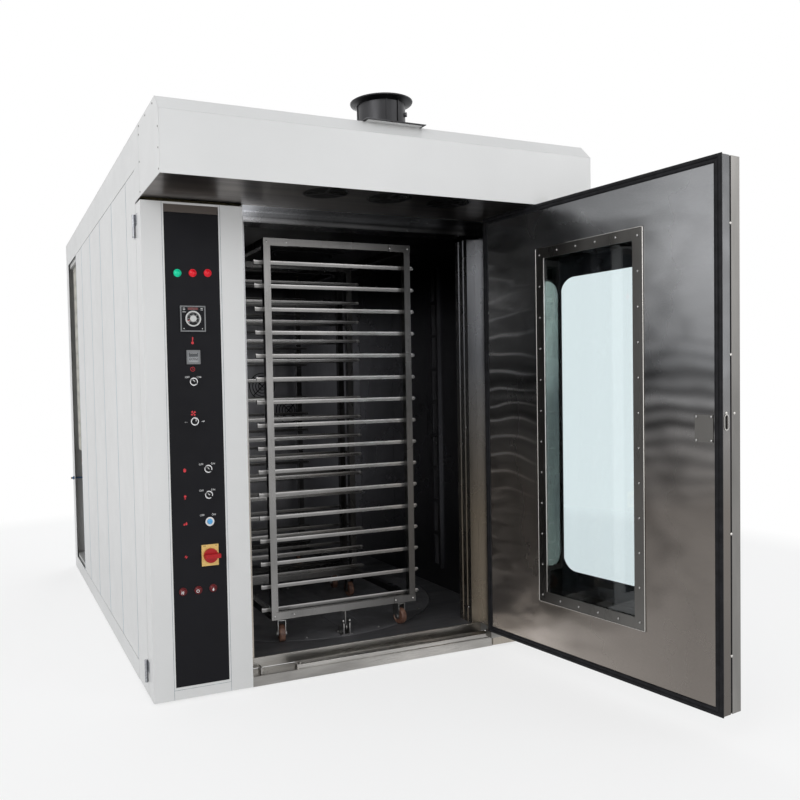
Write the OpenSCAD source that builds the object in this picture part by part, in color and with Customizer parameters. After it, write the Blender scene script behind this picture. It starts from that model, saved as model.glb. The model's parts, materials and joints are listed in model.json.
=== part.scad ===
// Rotary rack oven: an insulated baking chamber with a hinged glazed door, a turntable in its
// floor that carries two tray trolleys, a control column, an extraction hood and a rear
// machine compartment. Millimetres. X right, Y into the oven, Z up. The origin is on the
// turntable's axis at floor level. The door stands open and everything else is at home.

/* [Cabinet] */
// Width over the side panels
cab_width = 1810; // [1760:5:1900]
// Depth from the front plane to the rear panels
cab_depth = 2740; // [2600:10:2900]
// Height of the roof
cab_height = 2195; // [2150:5:2300]
// Front plane to the turntable's axis
axis_setback = 918; // [912:1:940]
// Outer panel face to the chamber lining
wall_thick = 80; // [70:1:90]
// Folded sheet thickness
sheet = 2; // [1.5:0.5:3]
// Side of the square tubes of the base and the rear frame
tube = 50; // [40:5:50]
// Height of the base's side rails
base_rail = 100; // [90:5:120]
// Depth of the side planks' folded edges
plank_return = 10; // [8:1:14]
// Open joint between two side planks
plank_gap = 5; // [3:1:8]
// Usual width of a side plank
plank_pitch = 392; // [340:4:420]
// Start of the open machine recess on the left, behind the turntable's axis
recess_start = 1255; // [1240:5:1300]
// Width of the rear corner post seen from the side
rear_post = 116; // [90:2:140]
// Height of the strip along the foot of each side
bottom_strip = 85; // [70:1:100]
// Height of the strip along the top of each side
top_strip_h = 146; // [120:2:170]

/* [Hood] */
// Underside of the hood above the floor
hood_z = 1925; // [1915:5:1960]
// Overhang of the hood in front of the body
hood_reach = 362; // [330:2:400]
// Height of the bevel along the hood's top front edge
bevel_h = 57; // [40:1:80]
// Depth of that bevel
bevel_d = 56; // [40:1:80]
// Distance between two hood grilles
grille_pitch = 266; // [240:2:300]
// Outer radius of a hood grille
grille_r = 84; // [70:1:95]
// Rings of slots in a hood grille
grille_rings = 7; // [4:1:8]
// Bore radius of the flue collar
flue_r = 90; // [80:1:100]
// Height of the flue collar above the hood
flue_h = 108; // [80:2:140]

/* [Control column] */
// Width of the control column
column_w = 396; // [390:2:410]
// Depth of its hinged cover
cover_d = 96; // [80:2:110]
// Black panel's left edge from the column's left side
panel_left = 86; // [70:2:100]
// Width of the black panel
panel_w = 213; // [190:1:230]
// Height of the black panel's lower edge
panel_z0 = 55; // [40:1:80]
// Height of the black panel's upper edge
panel_z1 = 1876; // [1840:2:1890]

/* [Door] */
// Running gap between the door and the column
door_gap = 14; // [12:1:20]
// Width of the door
door_w = 1120; // [1100:2:1130]
// Thickness of the door
door_t = 95; // [85:1:105]
// Underside of the door
door_z0 = 108; // [104:1:120]
// Top of the door below the hood
door_top_gap = 10; // [8:1:20]
// Angle at which the door stands open
door_open = 97; // [80:1:110]
// Hinge axis to the right of the door's edge
hinge_out = 45; // [40:1:60]
// Hinge axis in front of the front plane
hinge_fwd = 20; // [18:1:26]
// Window frame's outer left edge from the hinged edge
win_u0 = 312; // [280:2:340]
// Window frame's outer width
win_w = 514; // [480:2:540]
// Window frame's lower edge
win_z0 = 312; // [290:2:330]
// Window frame's upper edge
win_z1 = 1740; // [1700:2:1760]
// Width of the window frame
win_b = 44; // [36:1:50]

/* [Chamber and turntable] */
// Level of the chamber floor and of the turntable
floor_z = 90; // [85:1:95]
// Chamber ceiling
ceiling_z = 1905; // [1890:5:1910]
// Turntable radius
table_r = 724; // [712:1:730]
// Gap round the turntable
table_gap = 5; // [4:1:8]
// Turntable plate thickness
table_t = 6; // [5:1:8]
// Rear wall of the chamber behind the turntable's axis
rear_wall_y = 830; // [825:5:860]
// Thickness of the door's seal
seal_t = 4; // [3:1:8]
// Width of the seat that the door's seal meets
seat_w = 34; // [28:1:40]

/* [Trolleys] */
// Width over a trolley's posts
trolley_w = 705; // [680:5:715]
// Depth over a trolley's posts
trolley_d = 665; // [650:1:670]
// Gap between the two trolleys
trolley_gap = 90; // [80:2:100]
// Side of the trolley's square tubes
post = 30; // [25:1:32]
// Wall of the trolley's tubes
post_wall = 1.5; // [1:0.5:3]
// Trolley height above the chamber floor
trolley_h = 1750; // [1700:10:1780]
// Tray levels
levels = 16; // [10:1:16]
// Distance between two tray levels
level_pitch = 100; // [95:1:100]
// Height of a tray rail
rail_h = 16; // [12:1:20]
// Width of a tray rail's shelf
rail_shelf = 25; // [18:1:30]
// How far a rail passes the posts
rail_past = 28; // [20:1:32]
// Caster wheel diameter
wheel_d = 76; // [70:1:80]
// Caster wheel width
wheel_w = 26; // [20:1:30]
// Offset of the wheel's axle from the swivel axis
trail = 18; // [12:1:24]
// Underside of the trolley frame above the chamber floor
leg_h = 110; // [106:1:120]

/* [Machine compartment] */
// Depth of the heat exchanger
hx_d = 720; // [600:10:760]
// Thickness of the quilted lagging
lagging_t = 56; // [40:2:60]

/* [Clearances] */
// Joint between two pieces that touch on the real oven
seam = 0.3; // [0.2:0.1:0.5]
// Radial clearance of a shaft in its bore
fit = 0.05; // [0.02:0.01:0.1]

/* [Hidden] */

// Cabinet planes
xs = cab_width / 2;                        // outer side face
xc = xs - wall_thick;                      // chamber lining
yf = -axis_setback;                        // front plane
yb = cab_depth - axis_setback;             // rear face
lining = 3;                                // chamber lining sheet
core_x = xs - plank_return - seam;         // outer face of the side wool and of the frame
door_in = yf + door_t;                     // door's inner face when shut
y_seat = door_in + seal_t + 1;             // face that the door's seal meets
y_in = yf + 202;                           // chamber side of the front wall
front_wall = 60;                           // thickness of the front wall beside the opening
wool = 60;                                 // wool behind the rear lining

// Door opening. The door closes between the column and the hinge post.
col_x = -xs + column_w;                    // column's right side
door_x0 = col_x + door_gap;                // door's free edge when shut
door_x1 = door_x0 + door_w;                // door's hinged edge when shut
door_z1 = hood_z - door_top_gap;
jamb_t = 4;                                // folded jamb beside the door's edge
jamb_l = col_x + jamb_t;
jamb_r = door_x1 + 7;
open_l = jamb_l + seat_w;
open_r = jamb_r - 42;
open_top = hood_z - 47;
hinge_x = door_x1 + hinge_out;
hinge_y = yf - hinge_fwd;

// Trolleys. The front one's front face and the rear one's rear face are equally far out.
th = trolley_w / 2;
t_front = -(2 * trolley_d + trolley_gap) / 2;
t_rear = trolley_gap / 2;
frame_z = floor_z + leg_h;
trolley_top = floor_z + trolley_h;
rail_z0 = frame_z + post + 2;              // underside of the lowest rail
caster_in = 62;                            // swivel axis in from the trolley's corner
axle_z = floor_z + seam + wheel_d / 2;
front_swivel = [-12, 9];                   // how the front casters happen to stand
rear_swivel = [6, -8];

// Control items: [X, Z] on the column's face
col_l = -xs;
panel_x0 = col_l + panel_left;
panel_x1 = panel_x0 + panel_w;
lamps = [[134, 1647], [193, 1649], [252, 1651], [123, 425], [183, 425], [242, 426]];
selectors = [[186, 1233, -45], [186, 1080, 10], [234, 894, -45], [234, 793, -45]];
button_at = [234, 689];
isolator_at = [233, 557];
controller_at = [189, 1474];
timer_at = [187, 1327];

// ---------------------------------------------------------------- helpers

// A block between two corners
module slab(a, b) translate(a) cube(b - a);

// A square tube between two corners, open at the ends of its longest side
module bar(a, b, t) {
    d = b - a;
    difference() {
        slab(a, b);
        slab([for (i = [0:2]) a[i] + (d[i] == max(d) ? -1 : t)],
            [for (i = [0:2]) b[i] - (d[i] == max(d) ? -1 : t)]);
    }
}

// Stands a piece drawn on the XY plane on the column's face, growing towards the cook
module on_face(x, y, z, turn = 0) translate([x, y, z]) rotate([90, 0, 0]) rotate([0, 0, turn]) children();

// Swings a piece drawn with the door shut to where the door stands
module at_door() translate([hinge_x, hinge_y, 0]) rotate([0, 0, door_open])
    translate([-hinge_x, -hinge_y, 0]) children();

// Both sides of the cabinet
module both_sides() { children(); mirror([1, 0, 0]) children(); }

// A rectangular frame of sheet between two corners, its way through along Y
module sheet_frame(a, b, t) difference() {
    slab(a, b);
    slab([a[0] + t, a[1] - 1, a[2] + t], [b[0] - t, b[1] + 1, b[2] - t]);
}

// Machine compartment behind the chamber
hx_x = xc - 5;                             // half width of the heat exchanger
hx_y0 = rear_wall_y + wool + 70;
hx_z = [815, cab_height - 205];
drum_z = 560;
drum_r = 190;
drum_y = [hx_y0 + 20, hx_y0 + 440];
duct_r = 62;
nipple_z = 616;
nipple_y = yb - 77;
pipe_r = 6;                                // burner fuel pipe

// ---------------------------------------------------------------- cabinet

foot_h = 5;                                // levelling feet under the base
cross_z = floor_z - 30 - seam;             // top of the cross rails, under the chamber floor
post_y = rear_wall_y + wool + 2 * seam;
cross_y = [y_in, -table_r / 2, table_r / 2, rear_wall_y - tube, hx_y0 + 60, hx_y0 + hx_d - 110];

// Base rails on their feet, cross rails, posts and the rails that carry the planks' top ends
module cabinet_frame() color("gray") {
    z_rail = [foot_h, foot_h + base_rail];
    y_end = yb - sheet - seam;
    z_top = cab_height - sheet - seam;
    both_sides() {
        bar([-core_x, y_in - tube, z_rail[0]], [-core_x + tube, y_end, z_rail[1]], 3);
        bar([-core_x, y_end - tube, z_rail[1] + seam], [-core_x + tube, y_end, z_top], 3);
        // post behind the chamber and the rail that carries the planks' top ends
        bar([-core_x, post_y, z_rail[1] + seam], [-core_x + tube, post_y + tube, z_top], 3);
        bar([-core_x, post_y + tube + seam, top_strip - 26],
            [-core_x + tube, y_end - tube - seam, top_strip + 24], 3);
        for (y = [y_in - tube, 200, yb - 120]) translate([-core_x + tube / 2, y + tube / 2, 0])
            cylinder(h = foot_h - seam, r = 20, $fn = 48);
    }
    for (y = cross_y)
        bar([-core_x + tube + seam, y, cross_z - tube], [core_x - tube - seam, y + tube, cross_z], 3);
}

spindle_r = 30;                            // turntable spindle
floor_t = 30;                              // height of the floor tray
well_t = 16;                               // from the tray's underside to the well's bottom
floor_sheet = 4;
hub_r = 130;                               // solid middle that the gear case is bolted to

// Outline of the chamber and of the doorway's strip, drawn in by an edge
module floor_outline(e) {
    translate([-xc + e, y_in + e]) square([2 * (xc - e), rear_wall_y - y_in - 2 * e]);
    translate([col_x + seam + e, y_seat + sheet + seam + e])
        square([jamb_r + 6 - col_x - seam - 2 * e, y_in - y_seat - sheet - seam - e / 2]);
}

// Floor tray with the round well that the turntable turns in, hollow underneath
module chamber_floor() color("dimgray") translate([0, 0, floor_z - floor_t]) difference() {
    linear_extrude(floor_t) floor_outline(0);
    translate([0, 0, well_t]) cylinder(h = floor_t, r = table_r + table_gap, $fn = 180);
    translate([0, 0, -1]) cylinder(h = floor_t, r = spindle_r + fit, $fn = 64);
    translate([0, 0, -1]) linear_extrude(1 + floor_t - floor_sheet) difference() {
        floor_outline(floor_sheet);
        circle(r = table_r + table_gap + floor_sheet, $fn = 180);
    }
    translate([0, 0, -1]) linear_extrude(1 + well_t - floor_sheet) difference() {
        circle(r = table_r + table_gap - floor_sheet, $fn = 180);
        circle(r = hub_r, $fn = 96);
    }
}

// Lining panel joints along the side walls
lining_y = [y_in, -42, 368, rear_wall_y];

// Chamber lining: panels on each wall, the ceiling, the air louvre column and the wall guards
module chamber_liner() color("lightslategray") {
    z0 = floor_z + seam;
    z1 = ceiling_z - seam;
    for (i = [0:len(lining_y) - 2]) both_sides()
        slab([-xc, lining_y[i] + 1, z0], [-xc + lining, lining_y[i + 1] - 1, z1]);
    for (x = [[-xc + lining + 1, -400], [-398, 398], [400, xc - lining - 1]])
        slab([x[0], rear_wall_y - lining, z0], [x[1], rear_wall_y, z1]);
    slab([-xc, y_in, ceiling_z], [xc, rear_wall_y, ceiling_z + lining]);
    // inner faces of the front wall beside the opening
    slab([-xc + lining + 1, y_in - lining, z0], [col_x, y_in, z1]);
    slab([jamb_r, y_in - lining, z0], [xc - lining - 1, y_in, z1]);
    // ceiling cover plate with its two bolts
    slab([-80, -67, ceiling_z - seam - 3], [320, 127, ceiling_z - seam]);
    for (x = [-40, 280]) translate([x, 30, ceiling_z - seam - 11]) cylinder(h = 8, r = 9, $fn = 6);
    air_column();
    for (p = [[145, 1212], [317, 1057]]) wall_guard(p);
}

// Segmented air outlet on the right wall: a pressed channel with a row of louvred slots
module air_column() {
    n = 9;
    z0 = floor_z + 105;
    pitch = 180;
    y0 = -183;
    w = 86;
    x1 = xc - lining - seam;
    difference() {
        slab([x1 - 12, y0, z0], [x1, y0 + w, z0 + n * pitch + 20]);
        for (i = [0:n - 1])
            slab([x1 - 13, y0 + 16, z0 + 20 + i * pitch], [x1 - 2, y0 + w - 16, z0 + (i + 1) * pitch]);
    }
    // one slanted vane in each slot
    for (i = [0:n - 1]) translate([x1 - 7, y0 + w / 2, z0 + 20 + i * pitch])
        rotate([0, 0, 35]) translate([-1, -8, 0]) cube([2, 16, pitch - 20]);
}

// Round guard of concentric rings on the rear wall
module wall_guard(p) translate([p[0], rear_wall_y - lining - seam, p[1]]) rotate([90, 0, 0]) {
    for (r = [24, 43, 62, 82]) rotate_extrude($fn = 72) translate([r, 3]) circle(r = 2.5, $fn = 20);
    for (a = [45, 135]) rotate([0, 0, a]) translate([-84, -3, 0]) cube([168, 6, 2]);
}

roof_fill = 0.33;                          // share of the space under the roof that wool fills

// Mineral wool between the lining and the outer panels
module wall_insulation() color("khaki") {
    z1 = ceiling_z + lining;
    z_side = foot_h + base_rail + seam;
    y0 = y_in - front_wall + sheet + seam;
    both_sides() slab([-core_x, y_in - lining, z_side], [-xc - seam, rear_wall_y + seam, z1]);
    slab([-xc, rear_wall_y + seam, floor_z - 29], [xc, post_y - seam, z1]);
    slab([-core_x, y_in + seam, z1 + seam],
        [core_x, post_y - seam, ceiling_z + roof_fill * (cab_height - ceiling_z)]);
    slab([-core_x, y0, z_side], [col_x - 3 - seam, y_in - lining - seam, z1]);
    slab([jamb_r + 6 + seam, y0, z_side], [core_x, y_in - lining - seam, z1]);
}

// A side plank: a folded pan with two return edges
module plank(y0, y1, z0, z1) translate([-xs, 0, z0]) linear_extrude(z1 - z0)
    polygon([[0, y0], [plank_return, y0], [plank_return, y0 + sheet], [sheet, y0 + sheet],
        [sheet, y1 - sheet], [plank_return, y1 - sheet], [plank_return, y1], [0, y1]]);

top_strip = cab_height - top_strip_h;
first_plank = yf + 307;

// Upright planks, the strips above and below them, and the post strip beside the column
module side_planks(last) {
    for (y = [first_plank : plank_pitch : last - 60])
        plank(y + plank_gap / 2, min(y + plank_pitch, last) - plank_gap / 2,
            bottom_strip + 3, top_strip - 3);
    // bottom and top strips run the whole length
    slab([-xs, first_plank + plank_gap / 2, 4], [-xs + sheet, yb, bottom_strip]);
    slab([-xs, yf + sheet, top_strip], [-xs + sheet, yb, cab_height - sheet - seam]);
    // rear corner post cover
    difference() {
        slab([-xs, yb - rear_post, bottom_strip + seam], [-xs + sheet, yb, top_strip - seam]);
        translate([-xs - 1, nipple_y, nipple_z]) rotate([0, 90, 0])
            cylinder(h = sheet + 2, r = pipe_r + seam, $fn = 32);
    }
}

module side_panels() color("gainsboro") {
    side_planks(recess_start);
    mirror([1, 0, 0]) side_planks(yb - rear_post);
    // front strips: beside the control column's carcass, above the column, on the right-hand post
    plank(cover_back + 4, first_plank - plank_gap / 2, 8, top_strip - 3);
    slab([-xs, yf + sheet, hood_z], [-xs + sheet, cover_back + 4 - seam, top_strip - seam]);
    mirror([1, 0, 0]) plank(yf + sheet, first_plank - plank_gap / 2, 8, top_strip - 3);
}

// Rear panels with a louvred vent, and the roof over the body
module rear_panels() color("silver") {
    w = xs - sheet - seam;
    half = [[-w, -2], [2, w]];
    for (h = half) difference() {
        slab([h[0], yb - sheet, 4], [h[1], yb, cab_height - sheet - seam]);
        for (i = [0:9]) slab([(h[0] + h[1]) / 2 - 200, yb - 5, 300 + i * 40],
            [(h[0] + h[1]) / 2 + 200, yb + 1, 312 + i * 40]);
    }
    slab([-xs, yf, cab_height - sheet], [xs, yb, cab_height]);
    // lap joints across the roof
    for (y = [first_plank, 186, rear_wall_y + 150]) slab([-xs, y, cab_height + seam],
        [xs, y + 30, cab_height + seam + 1.5]);
}

// ---------------------------------------------------------------- hood

hood_y = yf - hood_reach;
hood_back = yf - seam;
bevel_z = cab_height - bevel_h;
flue_y = yf - hood_reach * 0.6;
flue_hole = 115;                           // half side of the square hole in the hood's top

// Side of the hood: the outline of the folded hood
module hood_side_outline() polygon([[hood_y, hood_z], [hood_back, hood_z], [hood_back, cab_height],
    [hood_y + bevel_d, cab_height], [hood_y, bevel_z]]);

// Front, bevel and top sheets between two end plates
module hood_shell() color("whitesmoke") {
    both_sides() translate([-xs, 0, 0]) rotate([90, 0, 90]) linear_extrude(sheet) hood_side_outline();
    xi = xs - sheet - seam;
    s = sheet;
    slab([-xi, hood_y, hood_z], [xi, hood_y + s, bevel_z]);
    translate([-xi, 0, 0]) rotate([90, 0, 90]) linear_extrude(2 * xi)
        polygon([[hood_y, bevel_z + seam], [hood_y + bevel_d - seam, cab_height],
            [hood_y + bevel_d - seam, cab_height - s * 1.4], [hood_y + s * 1.4, bevel_z + seam]]);
    // the top is cut to a square hole under the flue collar
    z = [cab_height - s, cab_height];
    y0 = hood_y + bevel_d;
    slab([-xi, y0, z[0]], [-flue_hole, hood_back, z[1]]);
    slab([flue_hole, y0, z[0]], [xi, hood_back, z[1]]);
    slab([-flue_hole + seam, y0, z[0]], [flue_hole - seam, flue_y - flue_hole, z[1]]);
    slab([-flue_hole + seam, flue_y + flue_hole, z[0]], [flue_hole - seam, hood_back, z[1]]);
}

// Concentric slots broken by three spokes
module grille_slots() {
    step = (grille_r - 12) / grille_rings;
    difference() {
        for (i = [0:grille_rings - 1]) difference() {
            circle(r = 14 + (i + 0.62) * step, $fn = 96);
            circle(r = 14 + i * step, $fn = 96);
        }
        for (a = [20, 140, 260]) rotate(a) translate([0, -4]) square([grille_r + 2, 8]);
    }
}

// Stainless underside with three pressed fan grilles
module hood_underside() color("rosybrown") translate([0, 0, hood_z + seam]) linear_extrude(sheet)
    difference() {
        xi = xs - sheet - seam;
        translate([-xi, hood_y + sheet + seam]) square([2 * xi, hood_reach - sheet - 2 * seam]);
        for (i = [-1:1]) translate([i * grille_pitch, grille_y]) grille_slots();
    }
grille_y = hood_y + 94;

// Round collar with a rolled rim and folded seams on a square base
module flue_collar() color("dimgray") translate([0, flue_y, cab_height]) {
    difference() {
        union() {
            translate([-flue_hole - 12, -flue_hole - 12, seam])
                cube([2 * flue_hole + 24, 2 * flue_hole + 24, sheet]);
            cylinder(h = flue_h, r = flue_r + 3, $fn = 96);
            translate([0, 0, flue_h - 14]) rotate_extrude($fn = 96)
                polygon([[flue_r, 0], [flue_r + 4, 0], [flue_r + 30, 10], [flue_r + 32, 14], [flue_r, 14]]);
            // standing seams of the rolled sheet
            for (a = [-105, -75, 75, 165]) rotate([0, 0, a])
                translate([flue_r + 1, -2, 0]) cube([6, 4, flue_h - 12]);
        }
        translate([0, 0, -1]) cylinder(h = flue_h + 3, r = flue_r, $fn = 96);
    }
    // damper spindle's nut
    rotate([0, 0, -40]) translate([flue_r + 3 + seam, 0, flue_h / 2]) rotate([0, 90, 0])
        cylinder(h = 7, r = 9, $fn = 6);
}

// ---------------------------------------------------------------- doorway

// One upright of the doorway from its outline in plan
module upright(points) translate([0, 0, floor_z + seam]) linear_extrude(hood_z - seam - floor_z - seam)
    polygon(points);

upper_z = [door_z1 - 128, door_z1 - 72, door_z1 - 22]; // upper hinge: fixed part, then the door's
upper_pin = 8;
lower_pin = 10;

// Stainless surround: jambs with the seat for the seal, banded header and hinge post
module door_frame() color("silver") {
    // left jamb: a thin return beside the column and the boxed seat
    slab([col_x + seam, yf + 6, floor_z + seam], [jamb_l, y_seat - seam, hood_z - seam]);
    bar([col_x + seam, y_seat, floor_z + seam], [open_l, y_in, hood_z - seam], sheet);
    // right jamb: boxed seat, pressed ribs and the return beside the door's hinged edge
    bar([open_r, y_seat, floor_z + seam], [jamb_r, y_in - lining - seam, hood_z - seam], sheet);
    for (y = [y_seat + 32, y_seat + 70]) slab([open_r - 2 - seam, y, floor_z + seam],
        [open_r - seam, y + 12, open_top - seam]);
    slab([jamb_r, yf + 2, floor_z + seam], [jamb_r + 6, y_seat - seam, hood_z - seam]);
    // header: rebate top, the seat and the bright nose below it
    slab([jamb_l + seam, yf + 2, hood_z - 3], [jamb_r - seam, y_seat - seam, hood_z - seam]);
    bar([open_l + seam, y_seat, open_top], [open_r - seam, y_in, hood_z - seam], sheet);
    slab([open_l + 4, y_seat - 3 - seam, open_top], [open_r - 4, y_seat - seam, open_top + 7]);
    // hinge post to the right of the door
    bar([jamb_r + 6 + seam, yf + 2, 8], [xs - plank_return - sheet - seam, yf + 42, hood_z - seam], sheet);
    // upper hinge: leaf, knuckle and the pin that the door's strap turns on
    slab([hinge_x - 4, hinge_y + 16 + seam, upper_z[0]], [hinge_x + 64, yf + 2 - seam, upper_z[1]]);
    translate([hinge_x, hinge_y, upper_z[0]]) cylinder(h = upper_z[1] - upper_z[0], r = 16, $fn = 48);
    translate([hinge_x, hinge_y, upper_z[1]])
        cylinder(h = upper_z[2] - upper_z[1] + 2, r = upper_pin, $fn = 48);
    translate([hinge_x, hinge_y, upper_z[2] + 2 + seam]) cylinder(h = 4, r = 12, $fn = 48);
}

// Threshold: lip level with the floor, front ledge, kick bar and the lower hinge's bracket
module sill() color("darkgray") {
    x0 = col_x + seam;
    x1 = jamb_r + 6;
    // lip and its upright face
    slab([x0, y_seat, 46], [x1, y_seat + sheet, floor_z]);
    // ledge, its folded front edge and the floor channel under it
    slab([x0, yf + 8, 40], [x1, y_seat - seam, 44]);
    slab([x0, yf + 8, 4], [x1, yf + 11, 40 - seam]);
    // kick bar with one round end
    translate([0, 0, 44 + seam]) linear_extrude(18) {
        translate([-317 + 22, yf + 36]) circle(r = 22, $fn = 48);
        translate([-317 + 22, yf + 14]) square([x1 - 10 + 317 - 22, 44]);
    }
    translate([-317 + 22, yf + 36, 62 + 2 * seam]) cylinder(h = 4, r = 7, $fn = 6);
    // stop bracket at the left end
    slab([x0 + 40, yf + 20, 44 + seam], [x0 + 46, yf + 60, 74]);
    slab([x0 + 46 + seam, yf + 20, 44 + seam], [x0 + 70, yf + 60, 50]);
    // lower hinge: bracket, post and pin
    slab([jamb_r - 34, hinge_y - 24, 58], [hinge_x + 26, yf + 2 - seam, floor_z - 2]);
    translate([hinge_x, hinge_y, floor_z - 2 + seam]) cylinder(h = 40, r = lower_pin, $fn = 48);
    translate([hinge_x, hinge_y, floor_z - 2 + seam]) difference() {
        cylinder(h = 6, r = 18, $fn = 48);
        translate([0, 0, -1]) cylinder(h = 8, r = lower_pin + seam, $fn = 48);
    }
}

// ---------------------------------------------------------------- control column

cover_back = yf + cover_d;
col_hinge = [-xs - 7, cover_back + 10];    // hinge axis of the column's cover
hinge_levels = [60, 1790];
knuckle_h = 44;

// Fixed part of the column: side returns, back plate and hinge halves
module column_carcass() color("gainsboro") {
    y1 = y_in - front_wall;
    slab([-core_x, cover_back + 4, 8], [-core_x + 20, y1, hood_z - seam]);
    slab([col_x - 3, cover_back + 4, 8], [col_x, y1, hood_z - seam]);
    slab([-core_x + 20 + seam, y1 - sheet, 8], [col_x - 3 - seam, y1, hood_z - seam]);
    for (z = hinge_levels) {
        translate([col_hinge[0], col_hinge[1], z]) cylinder(h = knuckle_h, r = 6, $fn = 32);
        slab([-xs - 1 - seam, col_hinge[1], z], [-xs - seam, col_hinge[1] + 34, z + knuckle_h]);
    }
}

plate_z = [250, 1750];                     // electrics plate
plate_t = 3;
din_rail = 35;
relay_rows = [420, 700];
relay_w = 44;
relay_h = 80;
relay_d = 48;
terminal_z = 980;
terminal_pitch = 14;

// Mounting plate with contactors, relays and terminal rail behind the cover
module electrics_plate() color("goldenrod") {
    y1 = y_in - front_wall - sheet - seam;
    x0 = -xs + wall_thick - 20;
    slab([x0, y1 - plate_t, plate_z[0]], [col_x - 50, y1, plate_z[1]]);
    for (z = concat(relay_rows, [terminal_z]))
        slab([x0 + 10, y1 - 10, z], [col_x - 60, y1 - plate_t - seam, z + din_rail]);
    for (z = relay_rows, i = [0:4]) translate([x0 + 18 + i * (relay_w + 6), y1 - relay_d, z - 22])
        cube([relay_w, relay_d - 10 - seam, relay_h]);
    for (i = [0:17]) translate([x0 + 16 + i * terminal_pitch, y1 - 36, terminal_z - 12])
        cube([terminal_pitch - 1, 26 - seam, 58]);
}

// Hinged cover of the control column: a folded pan with the opening for the panel
module column_cover() color("whitesmoke") {
    z0 = 8;
    z1 = hood_z - 10;
    difference() {
        slab([-xs, yf, z0], [col_x, cover_back, z1]);
        slab([-xs + sheet, yf + sheet, z0 + sheet], [col_x - sheet, cover_back + 1, z1 - sheet]);
        slab([panel_x0, yf - 1, panel_z0], [panel_x1, yf + 10, z1 - 8]);
    }
    // hinge knuckles and leaves on the cover's side
    for (z = hinge_levels) {
        translate([col_hinge[0], col_hinge[1], z + knuckle_h + seam])
            cylinder(h = knuckle_h, r = 6, $fn = 32);
        slab([-xs - 1 - seam, cover_back - 30, z + knuckle_h + seam],
            [-xs - seam, col_hinge[1], z + 2 * knuckle_h + seam]);
    }
}

// Black panel behind the opening, with the cut-outs of its instruments and knobs
module control_panel() color("black") difference() {
    slab([panel_x0 - 6, yf + sheet + seam, panel_z0 - 6], [panel_x1 + 6, yf + sheet + seam + 3, panel_z1]);
    for (s = selectors) on_face(col_l + s[0], yf + 9, s[1]) cylinder(h = 12, r = 8, $fn = 32);
    on_face(col_l + button_at[0], yf + 9, button_at[1]) cylinder(h = 12, r = 8, $fn = 32);
    on_face(col_l + isolator_at[0], yf + 9, isolator_at[1]) cylinder(h = 12, r = 8, $fn = 32);
}
y_face = yf + sheet + seam;                // front of the black panel

// A domed lens on its collar
module lamp(r) {
    cylinder(h = 3, r = r + 1.5, $fn = 48);
    translate([0, 0, 3]) rotate_extrude($fn = 48) intersection() {
        translate([0, -r * 0.55]) circle(r = r * 1.14, $fn = 64);
        square([r, r]);
    }
}

module indicator_lamps() color("firebrick") for (p = lamps)
    on_face(col_l + p[0], y_face - seam, p[1]) lamp(p[1] > 1000 ? 13.5 : 14);

// Temperature controller and timer: bezels with a set-back window
module instruments() color("slategray") {
    on_face(col_l + controller_at[0], y_face - seam, controller_at[1]) difference() {
        translate([-49, -49.5, 0]) cube([98, 99, 8]);
        translate([-44.5, -45, 5]) cube([89, 90, 4]);
        cylinder(h = 9, r = 4 + fit, $fn = 32);
    }
    on_face(col_l + timer_at[0], y_face - seam, timer_at[1]) difference() {
        translate([-26.5, -27, 0]) cube([53, 54, 7]);
        translate([-20, -20, 4.5]) cube([40, 40, 4]);
    }
}

// Temperature setting wheel on its spindle
module temperature_dial() color("white")
    on_face(col_l + controller_at[0], y_face - seam - 5 - seam, controller_at[1]) {
        difference() {
            cylinder(h = 5, r = 30, $fn = 72);
            translate([0, 0, 2]) difference() {
                cylinder(h = 5, r = 25, $fn = 72);
                cylinder(h = 5, r = 13, $fn = 48);
            }
        }
        translate([0, 0, 4]) cylinder(h = 5, r1 = 13, r2 = 11.5, $fn = 48);
        // index rib at the low end of the scale
        rotate([0, 0, 210]) translate([16, -1.2, 1.5]) cube([8, 2.4, 2.2]);
        translate([0, 0, -4]) cylinder(h = 5, r = 4, $fn = 32);
    }

// A selector knob: skirt, waisted grip bar and spindle
module selector_knob() {
    cylinder(h = 6, r = 11, $fn = 48);
    intersection() {
        translate([-4, -11, 0]) cube([8, 22, 18]);
        cylinder(h = 18, r = 11, $fn = 48);
    }
    translate([0, 0, -6]) cylinder(h = 7, r = 5, $fn = 32);
}
knob_out = 3 + 2 * seam;                   // knob's skirt in front of the panel

module knob(i) color("black") on_face(col_l + selectors[i][0], y_face - knob_out, selectors[i][1],
    -selectors[i][2]) selector_knob();

// Illuminated push button and its spindle
module burner_button() color("deepskyblue") on_face(col_l + button_at[0], y_face - knob_out - 4,
    button_at[1]) {
    cylinder(h = 4, r = 10.5, $fn = 48);
    translate([0, 0, -12]) cylinder(h = 13, r = 5, $fn = 32);
}

// Isolator: square plate with its collar, and the rotary handle
module isolator_plate() color("gold") on_face(col_l + isolator_at[0], y_face - seam, isolator_at[1])
    difference() {
        union() {
            translate([-33.5, -41.5, 0]) cube([67, 83, 4]);
            cylinder(h = 8, r = 27, $fn = 64);
        }
        translate([0, 0, -1]) cylinder(h = 10, r = 6 + fit, $fn = 32);
    }

module isolator_handle() color("crimson")
    on_face(col_l + isolator_at[0], y_face - seam - 8 - seam, isolator_at[1]) {
        cylinder(h = 12, r = 28, $fn = 64);
        translate([-26, -8, 10]) cube([60, 16, 20]);
        translate([0, 0, -10]) cylinder(h = 12, r = 6, $fn = 32);
    }

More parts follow.
